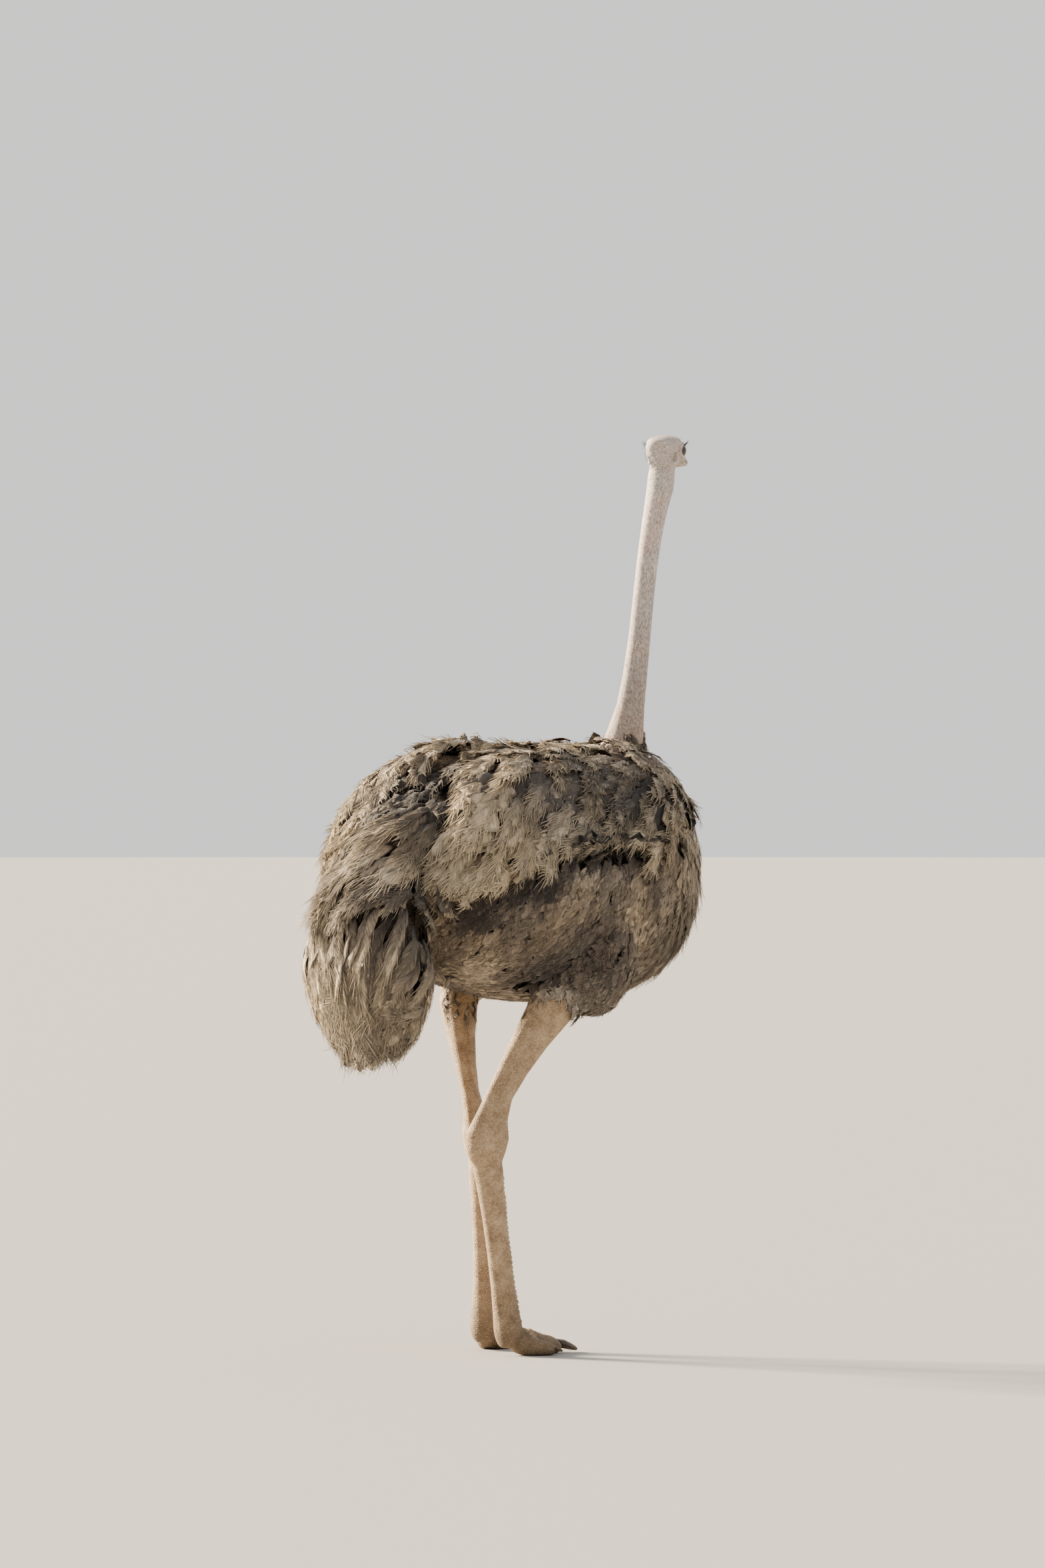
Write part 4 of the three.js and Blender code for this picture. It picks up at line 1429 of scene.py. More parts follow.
def spikes(name, roots, normals, heading, lengths, stand, half, random):
    """Thin three-sided spikes on a surface, as one piece with unwrap patches."""
    count = len(roots)
    lying = unit(heading - normals * (heading * normals).sum(1)[:, None])
    t = np.linspace(0, 1, SPIKE_RINGS + 1)[None, :, None]
    lift = stand[:, None, None] * t ** 0.8
    way = unit(lying[:, None] * (1 - lift) + normals[:, None] * lift)
    step = lengths[:, None, None] / SPIKE_RINGS
    centre = roots[:, None] + np.cumsum(np.concatenate([0 * way[:, :1], way[:, 1:] * step], 1), 1)
    centre = centre - normals[:, None] * 0.6 * MM
    sideways = unit(np.cross(lying, normals))[:, None, None]
    upward = normals[:, None, None]
    size = half[:, None, None, None] * np.append(SPIKE_HALF, 0)[:, None, None]
    ring = sideways * LOCK_ACROSS[:, None] + upward * LOCK_RAISE[:, None] * 0.8
    at = centre[:, :, None] + ring * size
    body, quads, tris = closed_bodies({"at": at}, 1)
    mesh, corners = mesh_from_arrays(name, body["at"], quads, tris)
    each = 3 * SPIKE_RINGS + 1
    along = np.append(np.repeat(t[0, :SPIKE_RINGS, 0], 3), 1.0)
    local = np.stack([np.append(np.tile([0.0, 0.5, 1.0], SPIKE_RINGS), 0.5), along], 1)
    patch_places = root_places(roots)[:, None] + (local - 0.5) * TUFT_PATCH
    patch_places = patch_places.reshape(-1, 2)
    bake_places = patch_places[corners].astype(np.float32).ravel()
    mesh.uv_layers.new(name="OFBake").data.foreach_set("uv", bake_places)
    paint = np.zeros((count, each, 4))
    paint[..., 0] = along
    paint[..., 1] = random.random((count, 1))
    keep_on_points(mesh, "barbs", "COLOR", paint)
    piece = new_object(name, mesh)
    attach(piece, "root")
    print(f"{name}: {count} spikes, {2 * len(quads) + len(tris)} triangles")
    return piece


head_places = to_head(skin_spots) / MM
clear_of_eyes = np.ones(len(skin_spots), bool)
for side in SIDES:
    angle, _, distance, _ = around_eye(head_places * MM, side)
    clear_of_eyes &= (angle > 64) | (distance > 2 * EYE_RADIUS)
_, ahead_at, up_at = head_places.T
behind_bill = (ahead_at < 50) | (up_at < -60)
chosen = np.flatnonzero(clear_of_eyes & behind_bill)
on_crown = smoothstep(14, 26, up_at) * smoothstep(30, 0, ahead_at)
height_share = smoothstep(RUFF_TOP, 1.75, skin_spots[:, 2])
gap = 0.004 - 0.0008 * (1 - height_share) - 0.0006 * smoothstep(-50, -30, up_at)
chosen = chosen[spread_out(skin_spots[chosen], gap[chosen])]
down_way = np.stack([0 * ahead_at, 0.25 * height_share, -1 + 0 * ahead_at], 1)
back_way = -head_forward - 0.35 * head_up
on_head = smoothstep(-46, -24, up_at)[:, None]
heading = down_way * (1 - on_head) + back_way * on_head
heading = heading[chosen] + 0.28 * down_random.normal(size=(len(chosen), 3))
down_length = (0.012 - 0.0045 * height_share - 0.0025 * on_head[:, 0] + 0.005 * on_crown)[chosen]
down_length *= down_random.uniform(0.7, 1.3, len(chosen))
stand = (0.2 + 0.25 * on_crown[chosen]) * down_random.uniform(0.5, 1.5, len(chosen))
half = (0.55 - 0.15 * on_head[:, 0][chosen]) * MM * down_random.uniform(0.8, 1.2, len(chosen))
down = spikes(
    "coat_down", skin_spots[chosen], skin_spot_normals[chosen],
    heading, down_length, stand, half, down_random
)

# %% [markdown]
# Stiff bristles stand round the ear and over the eye as lashes. They and the rows of horny
# plates down the front of the leg repeat one small shape along a line, which is what
# Geometry Nodes do best: the line's points carry the way each copy faces and its size, and
# the tree puts the shape on them.

# %% One tree for everything set along a line
def wired(tree, kind, inputs=None, **settings):
    """A node with its settings made, and each input set to a value or linked."""
    made = tree.nodes.new(kind)
    for key, value in settings.items():
        setattr(made, key, value)
    for socket, value in (inputs or {}).items():
        if isinstance(value, bpy.types.NodeSocket):
            tree.links.new(value, made.inputs[socket])
        else:
            made.inputs[socket].default_value = value
    return made


def set_along(name):
    """A tree that puts a copy of an object on every point, turned, sized and finished."""
    tree = bpy.data.node_groups.new(name, "GeometryNodeTree")
    sockets = {
        "Points": "Geometry", "Shape": "Object", "Unevenness": "Float", "Seed": "Int", "Finish": "Material"
    }
    for socket, kind in sockets.items():
        tree.interface.new_socket(name=socket, in_out="INPUT", socket_type=f"NodeSocket{kind}")
    tree.interface.new_socket(name="Mesh", in_out="OUTPUT", socket_type="NodeSocketGeometry")
    given = tree.nodes.new("NodeGroupInput").outputs

    def step(kind, inputs, **settings):
        return wired(tree, kind, inputs, **settings).outputs

    turn = step("GeometryNodeInputNamedAttribute", {"Name": "turn"}, data_type="FLOAT_VECTOR")["Attribute"]
    size = step("GeometryNodeInputNamedAttribute", {"Name": "size"}, data_type="FLOAT_VECTOR")["Attribute"]
    shape = step("GeometryNodeObjectInfo", {"Object": given["Shape"]})["Geometry"]
    least = step("ShaderNodeMath", {0: 1, 1: given["Unevenness"]}, operation="SUBTRACT")[0]
    most = step("ShaderNodeMath", {0: 1, 1: given["Unevenness"]}, operation="ADD")[0]
    uneven = {2: least, 3: most, "Seed": given["Seed"]}
    uneven = step("FunctionNodeRandomValue", uneven, data_type="FLOAT")[1]
    scale = step("ShaderNodeVectorMath", {0: size, "Scale": uneven}, operation="SCALE")["Vector"]
    copies = {"Points": given["Points"], "Instance": shape, "Rotation": turn, "Scale": scale}
    copies = step("GeometryNodeInstanceOnPoints", copies)["Instances"]
    real = step("GeometryNodeRealizeInstances", {"Geometry": copies})["Geometry"]
    finished = step("GeometryNodeSetMaterial", {"Geometry": real, "Material": given["Finish"]})["Geometry"]
    wired(tree, "NodeGroupOutput", {"Mesh": finished})
    return tree


along_line = set_along("set_along_line")


def set_out(name, shape, points, turns, sizes, unevenness, seed, finish):
    """Copies of a shape on points, as one plain mesh piece."""
    mesh = bpy.data.meshes.new(name)
    mesh.from_pydata([tuple(p) for p in points], [], [])
    keep_on_points(mesh, "turn", "VECTOR", turns)
    keep_on_points(mesh, "size", "VECTOR", sizes)
    line = new_object("line", mesh)
    modifier = line.modifiers.new("set_out", "NODES")
    modifier.node_group = along_line
    values = {"Shape": shape, "Unevenness": unevenness, "Seed": seed, "Finish": finish}
    for item in along_line.interface.items_tree:
        if item.in_out == "INPUT" and item.name in values:
            modifier[item.identifier] = values[item.name]
    result = bpy.data.meshes.new_from_object(line.evaluated_get(bpy.context.evaluated_depsgraph_get()))
    result.name = name
    bpy.data.objects.remove(line)
    piece = new_object(name, result)
    result.shade_smooth()
    print(f"{name}: {len(points)} copies, {len(result.polygons)} faces")
    return piece


def facing(along, outward):
    """The Euler turn that lays a shape's Y along one way and its Z outwards."""
    along = Vector(along).normalized()
    outward = Vector(outward)
    outward = (outward - along * outward.dot(along)).normalized()
    across = along.cross(outward)
    return tuple(Matrix((across, along, outward)).transposed().to_euler())

# %% [markdown]
# ## Eyes
#
# The visible eye is nearly all iris, dark brown to the rim of the lids, with a wide round
# pupil. It is a ball with a raised cornea. How far each point lies from the eye's axis is
# kept with the mesh, so that the iris can be coloured in rings.

# %% Eyeballs
CORNEA_ANGLE = 38
CORNEA_RISE = 1.1 * MM


def eyeball(side):
    """
    A smooth ball with a raised cornea, whose points know their angle from the eye's axis.
    Its faces come out pointing inwards.
    """
    _, _, _, (axis, front, top) = around_eye(np.zeros((1, 3)), side)
    mesh = bpy.data.meshes.new(f"eyeball_{side}")
    with opened(mesh) as work:
        bmesh.ops.create_uvsphere(work, u_segments=64, v_segments=48, radius=1)
    ball = points_of(mesh)
    ball /= np.linalg.norm(ball, axis=1, keepdims=True)
    angle = np.degrees(np.arccos(np.clip(ball[:, 2], -1, 1)))
    radius = EYE_RADIUS + CORNEA_RISE * smoothstep(CORNEA_ANGLE, 12, angle)
    turned = ball[:, :1] * np.cross(top, axis) + ball[:, 1:2] * top + ball[:, 2:] * axis
    put_points(mesh, from_head(np.array([SIDES[side] * EYE_SPREAD, 0, 0]) + turned * radius[:, None]))
    turn = np.arctan2(ball[:, 1], ball[:, 0])
    rings = np.stack([angle / 90, np.cos(turn), np.sin(turn)], 1)
    keep_on_points(mesh, "rings", "VECTOR", rings)
    mesh.shade_smooth()
    return new_object(f"eyeball_{side}", mesh)


eyeballs = {side: eyeball(side) for side in SIDES}
for side, piece in eyeballs.items():
    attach(piece, "root")
    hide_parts(f"eye_{side}")
    print(piece.name, len(piece.data.polygons), "faces")

# %% [markdown]
# ## Bill and nails
#
# The bill is two flat horny halves that meet in a level gape. The upper one has a raised
# ridge, a long nostril in a groove on each side and a rounded nail at its tip. Its solid has the
# right size but flat faces, so it is rebuilt with small even faces, smoothed, and the
# relief is pressed into it. The toes' nails are rebuilt and smoothed the same way, without relief.

# %% Bill
HORN_VOXEL = 0.9 * MM
NOSTRIL = (84, 11)
NAIL_START = 112
TUCK_START = 71


def horny(name, rounds):
    """A smooth copy of a solid with small even faces."""
    return relaxed(fused(together([name], 0.2 * MM), HORN_VOXEL), rounds)


def bill_half(name):
    """Half of the bill with its ridge, nostrils, nail and edge."""
    mesh = horny(name, 7)
    normals = normals_of(mesh) @ head_axes.T
    places = to_head(points_of(mesh))
    side, ahead, up = (places / MM).T
    out = np.abs(side)
    move = np.zeros(len(places))
    tucked = smoothstep(TUCK_START + 10, TUCK_START, ahead)
    places[:, 0] *= 1 - 0.14 * tucked
    places[:, 2] -= 2.0 * MM * tucked * smoothstep(-22, -8, up)
    places[:, 2] += 2.0 * MM * tucked * smoothstep(-24, -34, up)
    if name == "bill_upper":
        top = smoothstep(0.2, 0.7, normals[:, 2])
        move += top * (1.0 * bell(side, 0, 5) - 0.9 * bell(out, 9.5, 3)) * smoothstep(124, 96, ahead)
        above = smoothstep(0.0, 0.3, normals[:, 2])
        slot = np.hypot((ahead - NOSTRIL[0]) / 9.0, (out - NOSTRIL[1]) / 2.8)
        move -= 0.9 * above * bell(out, NOSTRIL[1], 5) * bell(ahead, NOSTRIL[0] + 4, 20)
        move += 0.6 * bell(slot, 1.35, 0.25) * above
        nail = bell(ahead, NAIL_START, 1.6) * top
        move += 0.8 * smoothstep(NAIL_START, NAIL_START + 8, ahead) * top - 0.7 * nail
    else:
        under = smoothstep(-0.2, -0.7, normals[:, 2])
        move -= under * 0.7 * bell(out, 6, 2) * smoothstep(120, 90, ahead)
    move += 0.35 * bell(up, -21 if name == "bill_upper" else -24, 1.2)
    put_points(mesh, from_head(places + normals * (move * MM)[:, None]))
    return new_object(f"{name}_horn", mesh)


horn_pieces = [(bill_half(name), name) for name in ("bill_upper", "bill_lower")]

# %% Nails of the toes
NAILS = [f"claw_{size}_{side}" for size in ("big", "small") for side in SIDES]
horn_pieces += [(new_object(f"{name}_nail", horny(name, 5)), name) for name in NAILS]
for piece, name in horn_pieces:
    piece.data.shade_smooth()
    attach(piece, "root")
    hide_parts(name)
    print(piece.name, len(piece.data.polygons), "faces")

# %% [markdown]
# ## Colours
#
# A hen is grey-brown all over, and what makes her look alive is unevenness: each plume is
# darker at its root and paler along its rim, its barbs differ, and the tone drifts over the
# body. The colours could be painted on a picture, but worked out by nodes they stay sharp
# close up. What several finishes share is a node group: the plume colours serve the plumage
# and the skin beneath it, and the down colours serve the neck's skin and its down.

# %% Helpers for shader nodes
def srgb(*colour):
    """A colour given in the usual 0 to 255 steps, as the linear values that shaders want."""
    return (*(c / 255 / 12.92 if c <= 10 else ((c / 255 + 0.055) / 1.055) ** 2.4 for c in colour), 1)


def node(tree, kind, inputs=None, **settings):
    """A shader node, set and wired."""
    return wired(tree, f"ShaderNode{kind}", inputs, **settings)


def scaled(tree, value, by, add=0.0):
    """A value times a second one, plus a third."""
    return node(tree, "Math", {0: value, 1: by, 2: add}, operation="MULTIPLY_ADD").outputs[0]


def mix(tree, factor, first, second, blend="MIX"):
    """A mix of two colours."""
    inputs = {"Factor": factor, "A": first, "B": second}
    return node(tree, "Mix", inputs, data_type="RGBA", blend_type=blend, clamp_factor=True).outputs["Result"]


def ramp(tree, factor, *stops):
    """A colour ramp through stops of a position and a colour in 0 to 255 steps."""
    made = node(tree, "ValToRGB", {"Fac": factor})
    elements = made.color_ramp.elements
    while len(elements) < len(stops):
        elements.new(0.5)
    for element, (position, *colour) in zip(elements, stops):
        element.position = position
        element.color = srgb(*colour)
    return made.outputs["Color"]


def noise(tree, vector, scale, detail=2, roughness=0.5):
    """A noise value from 0 to 1."""
    inputs = {"Vector": vector, "Scale": scale, "Detail": detail, "Roughness": roughness}
    return node(tree, "TexNoise", inputs).outputs["Fac"]


def spread(tree, value, low, high):
    """A value stretched so that low becomes 0 and high becomes 1, and held there."""
    return node(tree, "MapRange", {"Value": value, "From Min": low, "From Max": high}).outputs["Result"]


def bump(tree, height, distance, strength=1.0):
    """A normal from a height."""
    inputs = {"Height": height, "Distance": distance, "Strength": strength}
    return node(tree, "Bump", inputs).outputs["Normal"]


def new_group(name, inputs, outputs):
    """A shader node group with named inputs and outputs, its tree and its two end nodes."""
    tree = bpy.data.node_groups.new(name, "ShaderNodeTree")
    for way, sockets in (("INPUT", inputs), ("OUTPUT", outputs)):
        for socket, kind in sockets.items():
            tree.interface.new_socket(name=socket, in_out=way, socket_type=f"NodeSocket{kind}")
    return tree, tree.nodes.new("NodeGroupInput").outputs, tree.nodes.new("NodeGroupOutput").inputs


def place_group(tree, group, inputs):
    """A group placed in a tree, with each input set to a value or linked."""
    return node(tree, "Group", inputs, node_tree=group).outputs


def kept(tree, name):
    """What is kept on a piece's points under a name."""
    return node(tree, "Attribute", attribute_name=name).outputs


def object_place(tree):
    """Where a point stands."""
    return node(tree, "TexCoord").outputs["Object"]


def height_of(tree, place):
    """The height of a place above the ground."""
    return node(tree, "SeparateXYZ", {"Vector": place}).outputs["Z"]


def feed(shader, **values):
    """Links values to the shader's sockets, named with _ for a space."""
    for socket, value in values.items():
        shader.id_data.links.new(value, shader.inputs[socket.replace("_", " ")])


def material(name, roughness, **sockets):
    """A new node material, its tree and its shader."""
    made = bpy.data.materials.new(name)
    made.use_nodes = True
    tree = made.node_tree
    shader = tree.nodes["Principled BSDF"]
    shader.inputs["Roughness"].default_value = roughness
    for socket, value in sockets.items():
        shader.inputs[socket.replace("_", " ")].default_value = value
    return made, tree, shader


# %% The colours of plumes
plume_colours, given, put = new_group(
    "plume_colours",
    {"Place": "Vector", **dict.fromkeys(("Along", "Edge", "Tone", "Pale", "Streak"), "Float")},
    {"Color": "Color"},
)
tree = plume_colours
streak = scaled(tree, given["Streak"], 1.4, -0.53)
rim = scaled(tree, given["Edge"], given["Edge"])
lightness = scaled(tree, given["Along"], 0.3, streak)
lightness = scaled(tree, rim, 0.12, lightness)
lightness = scaled(tree, given["Tone"], 0.8, scaled(tree, lightness, 1.0, -0.2))
grey = ramp(
    tree, lightness,
    (0.0, 30, 25, 22), (0.25, 58, 50, 45), (0.5, 99, 89, 80), (0.75, 143, 130, 115), (1.0, 192, 178, 157),
)
warm = spread(tree, noise(tree, given["Place"], 3.5, 3), 0.42, 0.62)
tinted = mix(tree, warm, (0.97, 0.99, 1.04, 1), (1.06, 0.99, 0.9, 1))
grey = mix(tree, 1.0, grey, tinted, "MULTIPLY")
paleness = scaled(tree, given["Pale"], spread(tree, given["Along"], 0.25, 0.85))
paleness = scaled(tree, paleness, spread(tree, given["Streak"], 0.25, 0.6))
tree.links.new(mix(tree, paleness, grey, srgb(222, 206, 178)), put["Color"])

# %% The colours of down and bare neck skin
down_colours, given, put = new_group(
    "down_colours", {"Place": "Vector", "Low": "Float"}, {"Color": "Color", "Height": "Float"}
)
tree = down_colours
parted = node(tree, "SeparateXYZ", {"Vector": given["Place"]}).outputs
below_head = {0: parted["Z"], 1: collar_height + 0.03, 2: 0.1}
below_head = node(tree, "Math", below_head, operation="SMOOTH_MIN").outputs[0]
drawn_out = scaled(tree, below_head, -0.62, parted["Z"])
drawn_place = {"X": parted["X"], "Y": parted["Y"], "Z": drawn_out}
drawn_place = node(tree, "CombineXYZ", drawn_place).outputs["Vector"]
blotch = noise(tree, drawn_place, 55, 3, 0.6)
speckle = noise(tree, drawn_place, 330, 3, 0.7)
fuzz = noise(tree, drawn_place, 700, 2, 0.6)
mottle = scaled(tree, speckle, 0.8, scaled(tree, blotch, 0.2))
skin_tone = ramp(
    tree, spread(tree, mottle, 0.3, 0.7),
    (0.0, 122, 115, 111), (0.35, 170, 163, 158), (0.65, 202, 196, 192), (1.0, 224, 219, 215),
)
skin_tone = mix(tree, given["Low"], skin_tone, mix(tree, 1.0, skin_tone, srgb(222, 208, 198), "MULTIPLY"))
pink = spread(tree, noise(tree, given["Place"], 14, 2), 0.4, 0.65)
skin_tone = mix(tree, pink, skin_tone, mix(tree, 1.0, skin_tone, (1.08, 0.95, 0.9, 1), "MULTIPLY"))
tree.links.new(skin_tone, put["Color"])
tree.links.new(scaled(tree, fuzz, 0.5, speckle), put["Height"])

# %% [markdown]
# The bare leg is covered by netted scales, a few millimetres across on the shank and coarser
# on the tarsus. A cell pattern gives them: the distance to the nearest cell wall makes the
# grooves, for the height and for the dirt that lies in them, and each cell has its own tone.

# %% The colours of scaly skin
scale_colours, given, put = new_group(
    "scale_colours",
    {"Place": "Vector", "Cell": "Float", "Dirt": "Float"}, {"Color": "Color", "Height": "Float"}
)
tree = scale_colours
cells = {"Vector": given["Place"], "Scale": given["Cell"]}
wall = node(tree, "TexVoronoi", cells, feature="DISTANCE_TO_EDGE").outputs["Distance"]
cell = node(tree, "TexVoronoi", cells).outputs["Color"]
cell = node(tree, "SeparateColor", {"Color": cell}).outputs["Red"]
dome = spread(tree, wall, 0.0, 0.22)
worn = noise(tree, given["Place"], 30, 4, 0.6)
lightness = scaled(tree, cell, 0.22, scaled(tree, worn, 0.9))
lightness = scaled(tree, dome, 0.14, scaled(tree, lightness, 1.0, -0.14))
leg_tone = ramp(
    tree, lightness,
    (0.0, 104, 84, 66), (0.35, 158, 134, 108), (0.65, 190, 166, 138), (1.0, 214, 194, 168),
)
dusty = mix(tree, spread(tree, worn, 0.3, 0.7), srgb(92, 76, 60), srgb(150, 130, 106))
dusty = mix(tree, 1.0, dusty, mix(tree, dome, (0.55, 0.5, 0.45, 1), (1, 1, 1, 1)), "MULTIPLY")
tree.links.new(mix(tree, given["Dirt"], leg_tone, dusty), put["Color"])
tree.links.new(scaled(tree, worn, 0.3, dome), put["Height"])

# %% [markdown]
# The one skin needs three looks: grey-brown where the coat hides it, so that a gap between
# plumes never flashes bare, down on the neck and head, and scales on the legs. Which look a
# point wears is worked out here from where it stands and kept with the mesh. Under the coat it
# takes the tone of the nearest plume, so the skin carries the same markings as the coat, and the same
# painted light and shade.

# %% Which look each point of the skin wears
COVER_NEAR = 0.03
COVER_FAR = 0.055
skin_points = points_of(skin_mesh)
all_roots, all_tones = np.concatenate(coat_roots), np.concatenate(coat_tones)
finder = root_finder(all_roots)
nearest = [finder.find(point) for point in skin_points]
covered = smoothstep(COVER_FAR, COVER_NEAR, np.array([found[2] for found in nearest]))
on_leg = smoothstep(0.012, -0.012, skin_points[:, 2] - fringe_height(skin_points, 6))
at_hip = np.maximum(*(near(skin_points, shank_balls(side)[0][0], 0.06, 0.1) for side in SIDES))
on_leg *= np.maximum(on_legs(nearest_solids(skin_points)), at_hip)
looks = np.ones((len(skin_points), 4))
uneven_height = skin_points[:, 2] + 0.01 * wave(skin_points, 5, 0.03)
on_neck_skin = smoothstep(RUFF_TOP - 0.045, RUFF_TOP - 0.01, uneven_height)
looks[:, 0] = covered * (1 - on_leg) * (1 - on_neck_skin)
looks[:, 1] = on_leg
looks[:, 2] = all_tones[[found[1] for found in nearest], 0]
looks[:, 3] = smoothstep(1.75, RUFF_TOP - 0.03, skin_points[:, 2])
keep_on_points(skin_mesh, "looks", "COLOR", looks)
print("skin under plumes:", np.round((looks[:, 0] > 0.5).mean(), 2), "on legs:", np.round(on_leg.mean(), 2))

# %% Skin
living_skin, tree, shader = material(
    "living_skin", 0.62,
    Subsurface_Weight=0.08, Subsurface_Radius=(0.012, 0.005, 0.003), Subsurface_Scale=0.3
)
place = object_place(tree)
look = kept(tree, "looks")
parts = node(tree, "SeparateColor", {"Color": look["Color"]}).outputs
neck_look = place_group(tree, down_colours, {"Place": place, "Low": look["Alpha"]})
dirt = scaled(tree, spread(tree, height_of(tree, place), 0.2, 0.0), 0.9)
leg_look = place_group(tree, scale_colours, {"Place": place, "Cell": 240.0, "Dirt": dirt})
woolly = noise(tree, place, 240, 4, 0.65)
hidden = {"Place": place, "Along": 0.3, "Edge": 0.0, "Tone": parts["Blue"], "Pale": 0.0, "Streak": woolly}
hidden = place_group(tree, plume_colours, hidden)["Color"]
colour = mix(tree, parts["Green"], neck_look["Color"], leg_look["Color"])
normal = bump(tree, neck_look["Height"], 1.6 * MM, 0.8)
leg_relief = bump(tree, leg_look["Height"], 0.9 * MM, 0.9)
for mask, relief in (("Green", leg_relief), ("Red", bump(tree, woolly, 3 * MM, 0.8))):
    inputs = {"Factor": parts[mask], "A": normal, "B": relief}
    normal = node(tree, "Mix", inputs, data_type="VECTOR").outputs["Result"]
rough = scaled(tree, parts["Red"], 0.3, 0.58)
feed(shader, Base_Color=mix(tree, parts["Red"], colour, hidden), Roughness=rough, Normal=normal)
skin_mesh.materials.clear()
skin_mesh.materials.append(living_skin)

# %% Down
down_finish, tree, shader = material("down", 0.8, Sheen_Weight=0.2)
place = object_place(tree)
barbs = node(tree, "SeparateColor", {"Color": kept(tree, "barbs")["Color"]}).outputs
low_down = spread(tree, height_of(tree, place), 1.75, 1.35)
own = place_group(tree, down_colours, {"Place": place, "Low": low_down})["Color"]
lighter = scaled(tree, barbs["Red"], 0.35, scaled(tree, barbs["Green"], 0.25))
feed(shader, Base_Color=mix(tree, lighter, own, srgb(214, 202, 188)))
down.data.materials.append(down_finish)

# %% Plumage
plumage, tree, shader = material("plumage", 0.85, Sheen_Weight=0.25, Sheen_Roughness=0.5)
barbs = kept(tree, "barbs")
parts = node(tree, "SeparateColor", {"Color": barbs["Color"]}).outputs
grain = kept(tree, "grain")["Vector"]
barb = noise(tree, grain, 1.1, 3, 0.6)
marks = {
    "Place": object_place(tree), "Along": parts["Red"], "Edge": parts["Green"], "Tone": parts["Blue"],
    "Pale": barbs["Alpha"], "Streak": scaled(tree, barb, 0.4, scaled(tree, noise(tree, grain, 0.3, 3), 0.6)),
}
colour = place_group(tree, plume_colours, marks)["Color"]
feed(shader, Base_Color=colour, Normal=bump(tree, barb, 2.5 * MM, 0.8))
for piece in bpy.context.scene.objects:
    if piece.name.startswith("coat_") and piece != down:
        piece.data.materials.append(plumage)

# %% [markdown]
# ## Eyes, horn and scales
#
# The iris is a warm dark brown with fine spokes, darker towards its rim, round a black
# pupil, and a wet clear coat covers all of it. Horn is built up in long fibres, so its colour
# streaks lengthwise and its gloss is broken by fine scratches.

# %% The eye
PUPIL = 23 / 90
IRIS = 46 / 90
wet_eye, tree, shader = material("wet_eye", 0.08, Coat_Weight=1.0, Coat_Roughness=0.02, IOR=1.38)
rings = node(tree, "SeparateXYZ", {"Vector": kept(tree, "rings")["Vector"]}).outputs
stretches = {"X": 1.5, "Y": 9, "Z": 9}
spoke_place = {axis: scaled(tree, rings[axis], stretch) for axis, stretch in stretches.items()}
spokes = noise(tree, node(tree, "CombineXYZ", spoke_place).outputs["Vector"], 2.2, 4, 0.65)
iris = ramp(tree, spread(tree, spokes, 0.3, 0.7), (0.0, 22, 13, 9), (0.5, 44, 27, 17), (1.0, 76, 49, 30))
iris = mix(tree, spread(tree, rings["X"], IRIS - 0.12, IRIS), iris, srgb(16, 10, 8))
in_iris = spread(tree, rings["X"], PUPIL - 0.008, PUPIL + 0.008)
feed(shader, Base_Color=mix(tree, in_iris, srgb(5, 4, 4), iris))
for piece in eyeballs.values():
    piece.data.materials.append(wet_eye)

# %% Horn
def horn_finish(name, stretch, turn, *tones):
    """Horn with fibres along its length, which streak its colour and break its gloss."""
    finish, tree, shader = material(name, 0.42, Coat_Weight=0.15, Coat_Roughness=0.35)
    place = object_place(tree)
    lengthwise = {"Vector": place, "Rotation": (0, 0, -math.radians(turn))}
    turned = node(tree, "Mapping", lengthwise, vector_type="POINT")
    along = node(tree, "VectorMath", {0: turned.outputs["Vector"], 1: (1, stretch, 1)}, operation="MULTIPLY")
    fibres = noise(tree, along.outputs["Vector"], 520, 4, 0.6)
    lightness = scaled(tree, fibres, 0.45, scaled(tree, noise(tree, place, 46, 3, 0.55), 0.65))
    feed(
        shader, Base_Color=ramp(tree, spread(tree, lightness, 0.35, 0.75), *tones),
        Roughness=scaled(tree, fibres, 0.3, 0.28), Normal=bump(tree, fibres, 0.25 * MM, 0.6),
    )
    return finish


HEAD_TURN = 27
bill_tones = ((0.0, 104, 88, 72), (0.5, 150, 130, 108), (1.0, 184, 164, 138))
nail_tones = ((0.0, 58, 48, 40), (0.5, 104, 88, 72), (1.0, 148, 130, 108))
bill_horn = horn_finish("bill_horn", 0.16, HEAD_TURN, *bill_tones)
nail_horn = horn_finish("nail_horn", 0.2, 0, *nail_tones)
for piece, name in horn_pieces:
    piece.data.materials.clear()
    piece.data.materials.append(bill_horn if name.startswith("bill") else nail_horn)

# %% Plates and bristles
plate_finish, tree, shader = material("leg_plates", 0.5)
place = object_place(tree)
dirt = scaled(tree, spread(tree, height_of(tree, place), 0.16, 0.0), 0.6)
own = place_group(tree, scale_colours, {"Place": place, "Cell": 55.0, "Dirt": dirt})["Color"]
scratches = noise(tree, place, 300, 3, 0.6)
worn = mix(tree, spread(tree, scratches, 0.45, 0.7), own, srgb(190, 166, 138))
feed(shader, Base_Color=mix(tree, 0.45, own, worn), Normal=bump(tree, scratches, 0.4 * MM, 0.5))
bristle_finish, tree, shader = material("bristles", 0.45)
patches = noise(tree, object_place(tree), 90, 2)
feed(shader, Base_Color=ramp(tree, patches, (0.3, 18, 14, 12), (0.7, 58, 46, 38)))

# %% Lashes and ear bristles
BRISTLE_ROWS = 5


